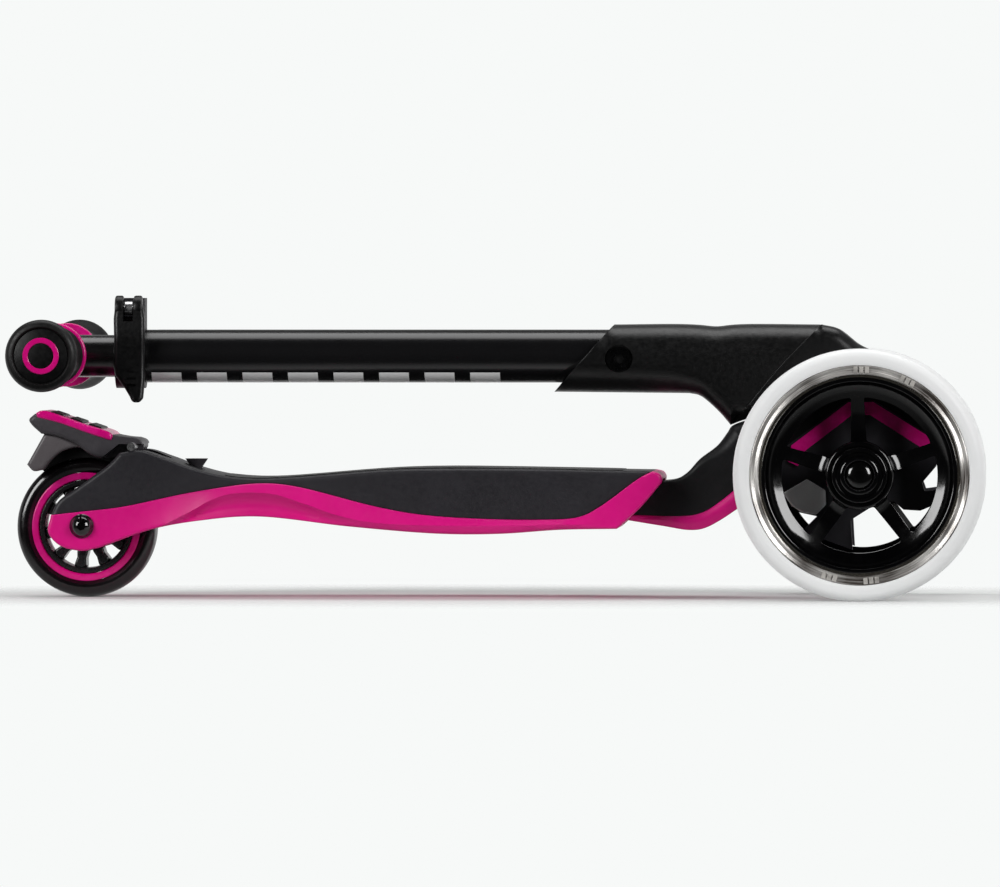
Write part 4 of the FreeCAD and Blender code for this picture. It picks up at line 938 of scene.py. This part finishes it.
def make_front_wheel(body, mirror):
    side = "right" if mirror else "left"
    sign = -1 if mirror else 1

    def turn(name, points, paint, slot, stands_for, steps=160, sharp=35):
        profile = [(r, sign * (FRONT_WHEEL_Y + y)) for r, y in points]
        return lathe(name + "_" + side, profile, FRONT_AXLE, body, paint, slot, stands_for, steps, sharp)

    tyre = [(65.5, -12.9), (67.0, -13.4)] + arc(69.0, -6.6, 6.4, -90, -12, 8) + arc(60.0, 0.0, 15.3, -18, 18,
                                                                                    10)
    tyre += arc(69.0, 6.6, 6.4, 12, 90, 8) + [(67.0, 13.4), (65.5, 12.9)]
    turn("front_tyre_shell", tyre, "clear_tyre", "clear_tyre", ["front_tyre_" + side])
    ring = [(59.9, -11.8), (65.4, -11.8)] + arc(64.6, 12.3, 0.8, 0, 90) + [(62.6, 12.0)]
    ring += arc(60.7, 12.3, 0.8, 90, 180)
    turn("light_ring_shell", ring, "light_ring", "light_ring", ["light_ring_" + side])
    rim = [(59.5, -12.0), (59.5, 9.9), (58.3, 9.9)] + arc(57.9, 12.0, 0.5, 0, 90, 4)
    rim += arc(56.8, 11.2, 1.3, 90, 150, 4) + [(53.6, 8.6), (49.5, 6.6), (45.0, 4.7), (38.0, 1.9),
                                               (32.0, -0.2)]
    rim += [(26.0, -0.3), (22.0, 1.4), (19.6, 4.0)] + arc(18.6, 8.6, 1.5, 0, 100, 6) + [(17.0, 9.6)]
    rim += [(16.8, 9.2), (13.0, 9.2), (13.0, -12.0), (18.0, -12.0), (18.0, -5.8), (32.0, -6.4), (46.0, -0.9),
            (54.0, 2.6), (55.6, -12.0)]
    dish = turn("front_rim_shell", rim, "gloss_black", "gloss_black", ["front_rim_" + side])
    window_count, first_window = 5, 55.5
    inner = [(20.6 * math.cos(a), 20.6 * math.sin(a)) for a in np.linspace(-0.40, 0.40, 7)]
    outer = [(46.4 * math.cos(a), 46.4 * math.sin(a)) for a in np.linspace(0.545, -0.545, 17)]
    shape = rounded(inner + outer, [2.6] + [0] * 5 + [2.6] + [3.2] + [0] * 15 + [3.2], 5)
    windows = []
    for k in range(window_count):
        turned = math.radians(first_window + 360 / window_count * k)
        turned_shape = [(FRONT_AXLE[0] + x * math.cos(turned) - z * math.sin(turned),
                         FRONT_AXLE[1] + x * math.sin(turned) + z * math.cos(turned)) for x, z in shape]
        windows.append(prism_tool(turned_shape, sign * 60.0, sign * 110.0))
    cut(dish, *windows)
    cap = [(9.3, 10.0), (16.6, 10.0), (16.6, 10.8)] + arc(15.6, 11.4, 1.0, 0, 90, 6) + [(14.2, 12.4),
                                                                                        (13.4, 11.6)]
    cap += [(12.0, 11.4), (11.2, 12.2), (10.4, 12.5), (9.3, 12.4)]
    blocks = []
    for degrees in (63.0, 89.0, 253.5, 276.5):
        t = math.radians(degrees)
        u, v = Vector((math.cos(t), math.sin(t))), Vector((-math.sin(t), math.cos(t)))
        middle = Vector(FRONT_AXLE)
        for shift in (-3.4, 0.0, 3.4):
            corners = [tuple(middle + r * u + (w + shift) * v)
                       for r, w in ((60.9, -1.3), (64.7, -1.3), (64.7, 1.3), (60.9, 1.3))]
            blocks.append(relief("led", rounded(corners, 0.5, 3), lambda x, z: 0.8, 0.4, body, "led_lens",
                                 "led",
                                 step=1.2, bend=lambda x, z: sign * 97.6))
    lenses = joined("led_lenses_" + side, blocks)
    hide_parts("led_modules_" + side)
    screw = [(0.0, 92.0), (0.0, 98.4), (3.4, 98.4), (5.4, 98.0), (7.4, 97.0), (8.6, 95.4), (8.8, 94.2),
             (8.8, 92.0)]
    head = lathe("axle_screw", [(r, sign * y) for r, y in screw], FRONT_AXLE, "truck", "black_chrome",
                 "black_metal",
                 steps=72)
    cut(head, prism_tool(hexagon(FRONT_AXLE, 3.1), sign * 95.8, sign * 110.0))
    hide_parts("front_axle_screws")
    turn("hub_cap_shell", cap, "gloss_black", "gloss_black", ["hub_cap_" + side], steps=96)


make_front_wheel("front_wheel_left", False)
make_front_wheel("front_wheel_right", True)


# ---------------------------------------------------------------- clamp
def make_clamp():
    lever = [(-235.0, 155.0), (-235.4, 168.0), (-234.4, 178.6), (-218.4, 178.6), (-216.6, 168.0),
             (-216.4, 131.1), (-217.2, 120.0), (-219.4, 117.6), (-223.6, 117.6), (-225.6, 121.6),
             (-228.6, 126.4), (-234.4, 134.0), (-235.6, 140.0)]
    path = line_of([(112.0, 32.0), (119.6, 28.6), (133.0, 25.0), (145.5, 24.2), (158.0, 24.8), (167.0, 23.6),
                    (174.0, 22.2), (180.0, 20.4)])
    piece = relief("clamp_lever_shell", rounded(lever, 3.0), lambda x, z: 3.4, 2.6, "clamp_lever",
                   "clamp_plastic", "black_plastic", step=1.6, bend=lambda x, z: -float(path(z)))
    middle = -226.6
    cut(piece, box_tool(middle - 2.9, middle + 2.9, -40.0, -14.0, 166.4, 180.4),
        *[box_tool(middle - 0.8, middle + 4.8, -34.0, -27.9, z - 0.7, z + 0.7) for z in range(128, 157, 4)])
    cams = []
    for x0, x1 in ((-234.8, -229.6), (-223.6, -218.4)):
        cams.append(turned_x("cam", [(x0, 0.0), (x0, 6.8), (x0 + 0.4, 7.7), (x0 + 1.2, 8.0), (x1 - 1.2, 8.0),
                                     (x1 - 0.4, 7.7), (x1, 6.8), (x1, 0.0)], -18.0, 174.0, "clamp_lever",
                             "clamp_plastic", "black_plastic"))
    body = joined("clamp_lever_shell", [piece] + cams)
    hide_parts("clamp_lever")


def turned_x(name, profile, y, z, body, paint, slot, stands_for=(), steps=96, loop=False):
    """Turned piece about a line along X. profile is a list of (x, radius); loop closes it into a tube."""
    n = len(profile)
    vertices = []
    for k in range(steps):
        t = 2 * math.pi * k / steps
        vertices += [(x, y + r * math.cos(t), z + r * math.sin(t)) for x, r in profile]
    faces = [(k * n + i, k * n + (i + 1) % n, (k + 1) % steps * n + (i + 1) % n, (k + 1) % steps * n + i)
             for k in range(steps) for i in range(n if loop else n - 1)]
    return new_piece(name, vertices, faces, body, paint, slot, stands_for)


make_clamp()


def make_stem_tube():
    """Outer stem tube with eased ends and the clamp's slit."""
    (a, b), outer, inner = TUBE_ENDS, 16.0, 14.0
    profile = [(a, inner + 0.4), (a, outer - 0.5), (a + 0.5, outer), (b - 0.5, outer), (b, outer - 0.5),
               (b, inner + 0.4), (b - 0.4, inner), (a + 0.4, inner)]
    tube = turned_x("stem_tube", profile, 0.0, STEM_Z, "column", "printed_paint", "black_paint",
                    ["outer_tube"],
                    steps=160, loop=True)
    cut(tube, box_tool(a - 1.0, a + 24.0, -1.5, 1.5, STEM_Z + 5.0, STEM_Z + 30.0))


make_stem_tube()


# ---------------------------------------------------------------- handlebar
def turned_pair(name, profile, paint, slot, stands_for=(), steps=96):
    """The same turned piece on both ends of the handlebar, as one object."""
    sides = [lathe("side", [(r, s * y) for r, y in profile], HANDLEBAR, "handlebar", paint, slot, steps=steps)
             for s in (-1, 1)]
    joined_on("handlebar", name, sides, stands_for)


def make_grips():
    e = GRIP_END
    grip = [(11.1, 49.4), (16.6, 49.4)] + arc(16.8, 50.2, 0.8, -90, 0, 4) + [(17.4, 51.4), (16.2, 53.2)]
    for k in range(8):
        y = 62 + 7 * k
        grip += [(16.0, y - 2.2), (15.7, y - 1.2), (15.2, y - 0.5)]
        grip += [(15.2, y + 0.5), (15.7, y + 1.2), (16.0, y + 2.2)]
    grip += [(16.0, e - 25), (16.6, e - 19), (18.2, e - 14.5), (20.2, e - 11), (21.3, e - 7.5), (21.5, e - 5),
             (21.1, e - 3), (20.1, e - 1.3), (18.6, e - 0.3), (17.4, e - 0.1), (16.7, e - 0.6),
             (16.4, e - 1.4),
             (16.2, e - 2.0), (11.1, e - 2.0)]
    turned_pair("grip_shells", grip, "grip_rubber", "grip_rubber", ["grips"], steps=128)
    cap = [(0.0, e - 8), (11.0, e - 8), (11.0, e - 2.4), (16.1, e - 2.4), (16.1, e - 1.6), (15.4, e - 1.2),
           (0.0, e - 1.2)]
    turned_pair("grip_cap_discs", cap, "grip_dark", "grip_rubber", ["grip_caps"])
    band = [(7.6, e - 1.4), (7.6, e - 0.9), (8.0, e - 0.6), (10.4, e - 0.6), (10.8, e - 0.9), (10.8, e - 1.4)]
    turned_pair("grip_emblem_rings", band, "magenta_gloss", "magenta_gloss")
    collar = [(11.2, 45.0), (17.8, 45.0)] + arc(18.0, 46.4, 1.4, -90, 0, 5) + arc(18.0, 47.6, 1.4, 0, 80, 5)
    collar += [(11.2, 48.9)]
    turned_pair("grip_collar_rings", collar, "magenta_gloss", "magenta_gloss", ["grip_collars"])


make_grips()


# ---------------------------------------------------------------- column bolt
def make_column_bolt():
    head = [(0.0, -14.0), (0.0, -18.6), (3.0, -18.6), (4.2, -18.9), (5.0, -20.4), (5.6, -21.0), (6.6, -21.1),
            (7.2, -20.6), (7.4, -19.6), (7.4, -14.0)]
    near = lathe("column_bolt_head", head, COLUMN_BOLT, "column", "black_chrome", "black_metal", steps=72)
    cut(near, prism_tool(hexagon(COLUMN_BOLT, 3.4), -30.0, -16.4))


make_column_bolt()
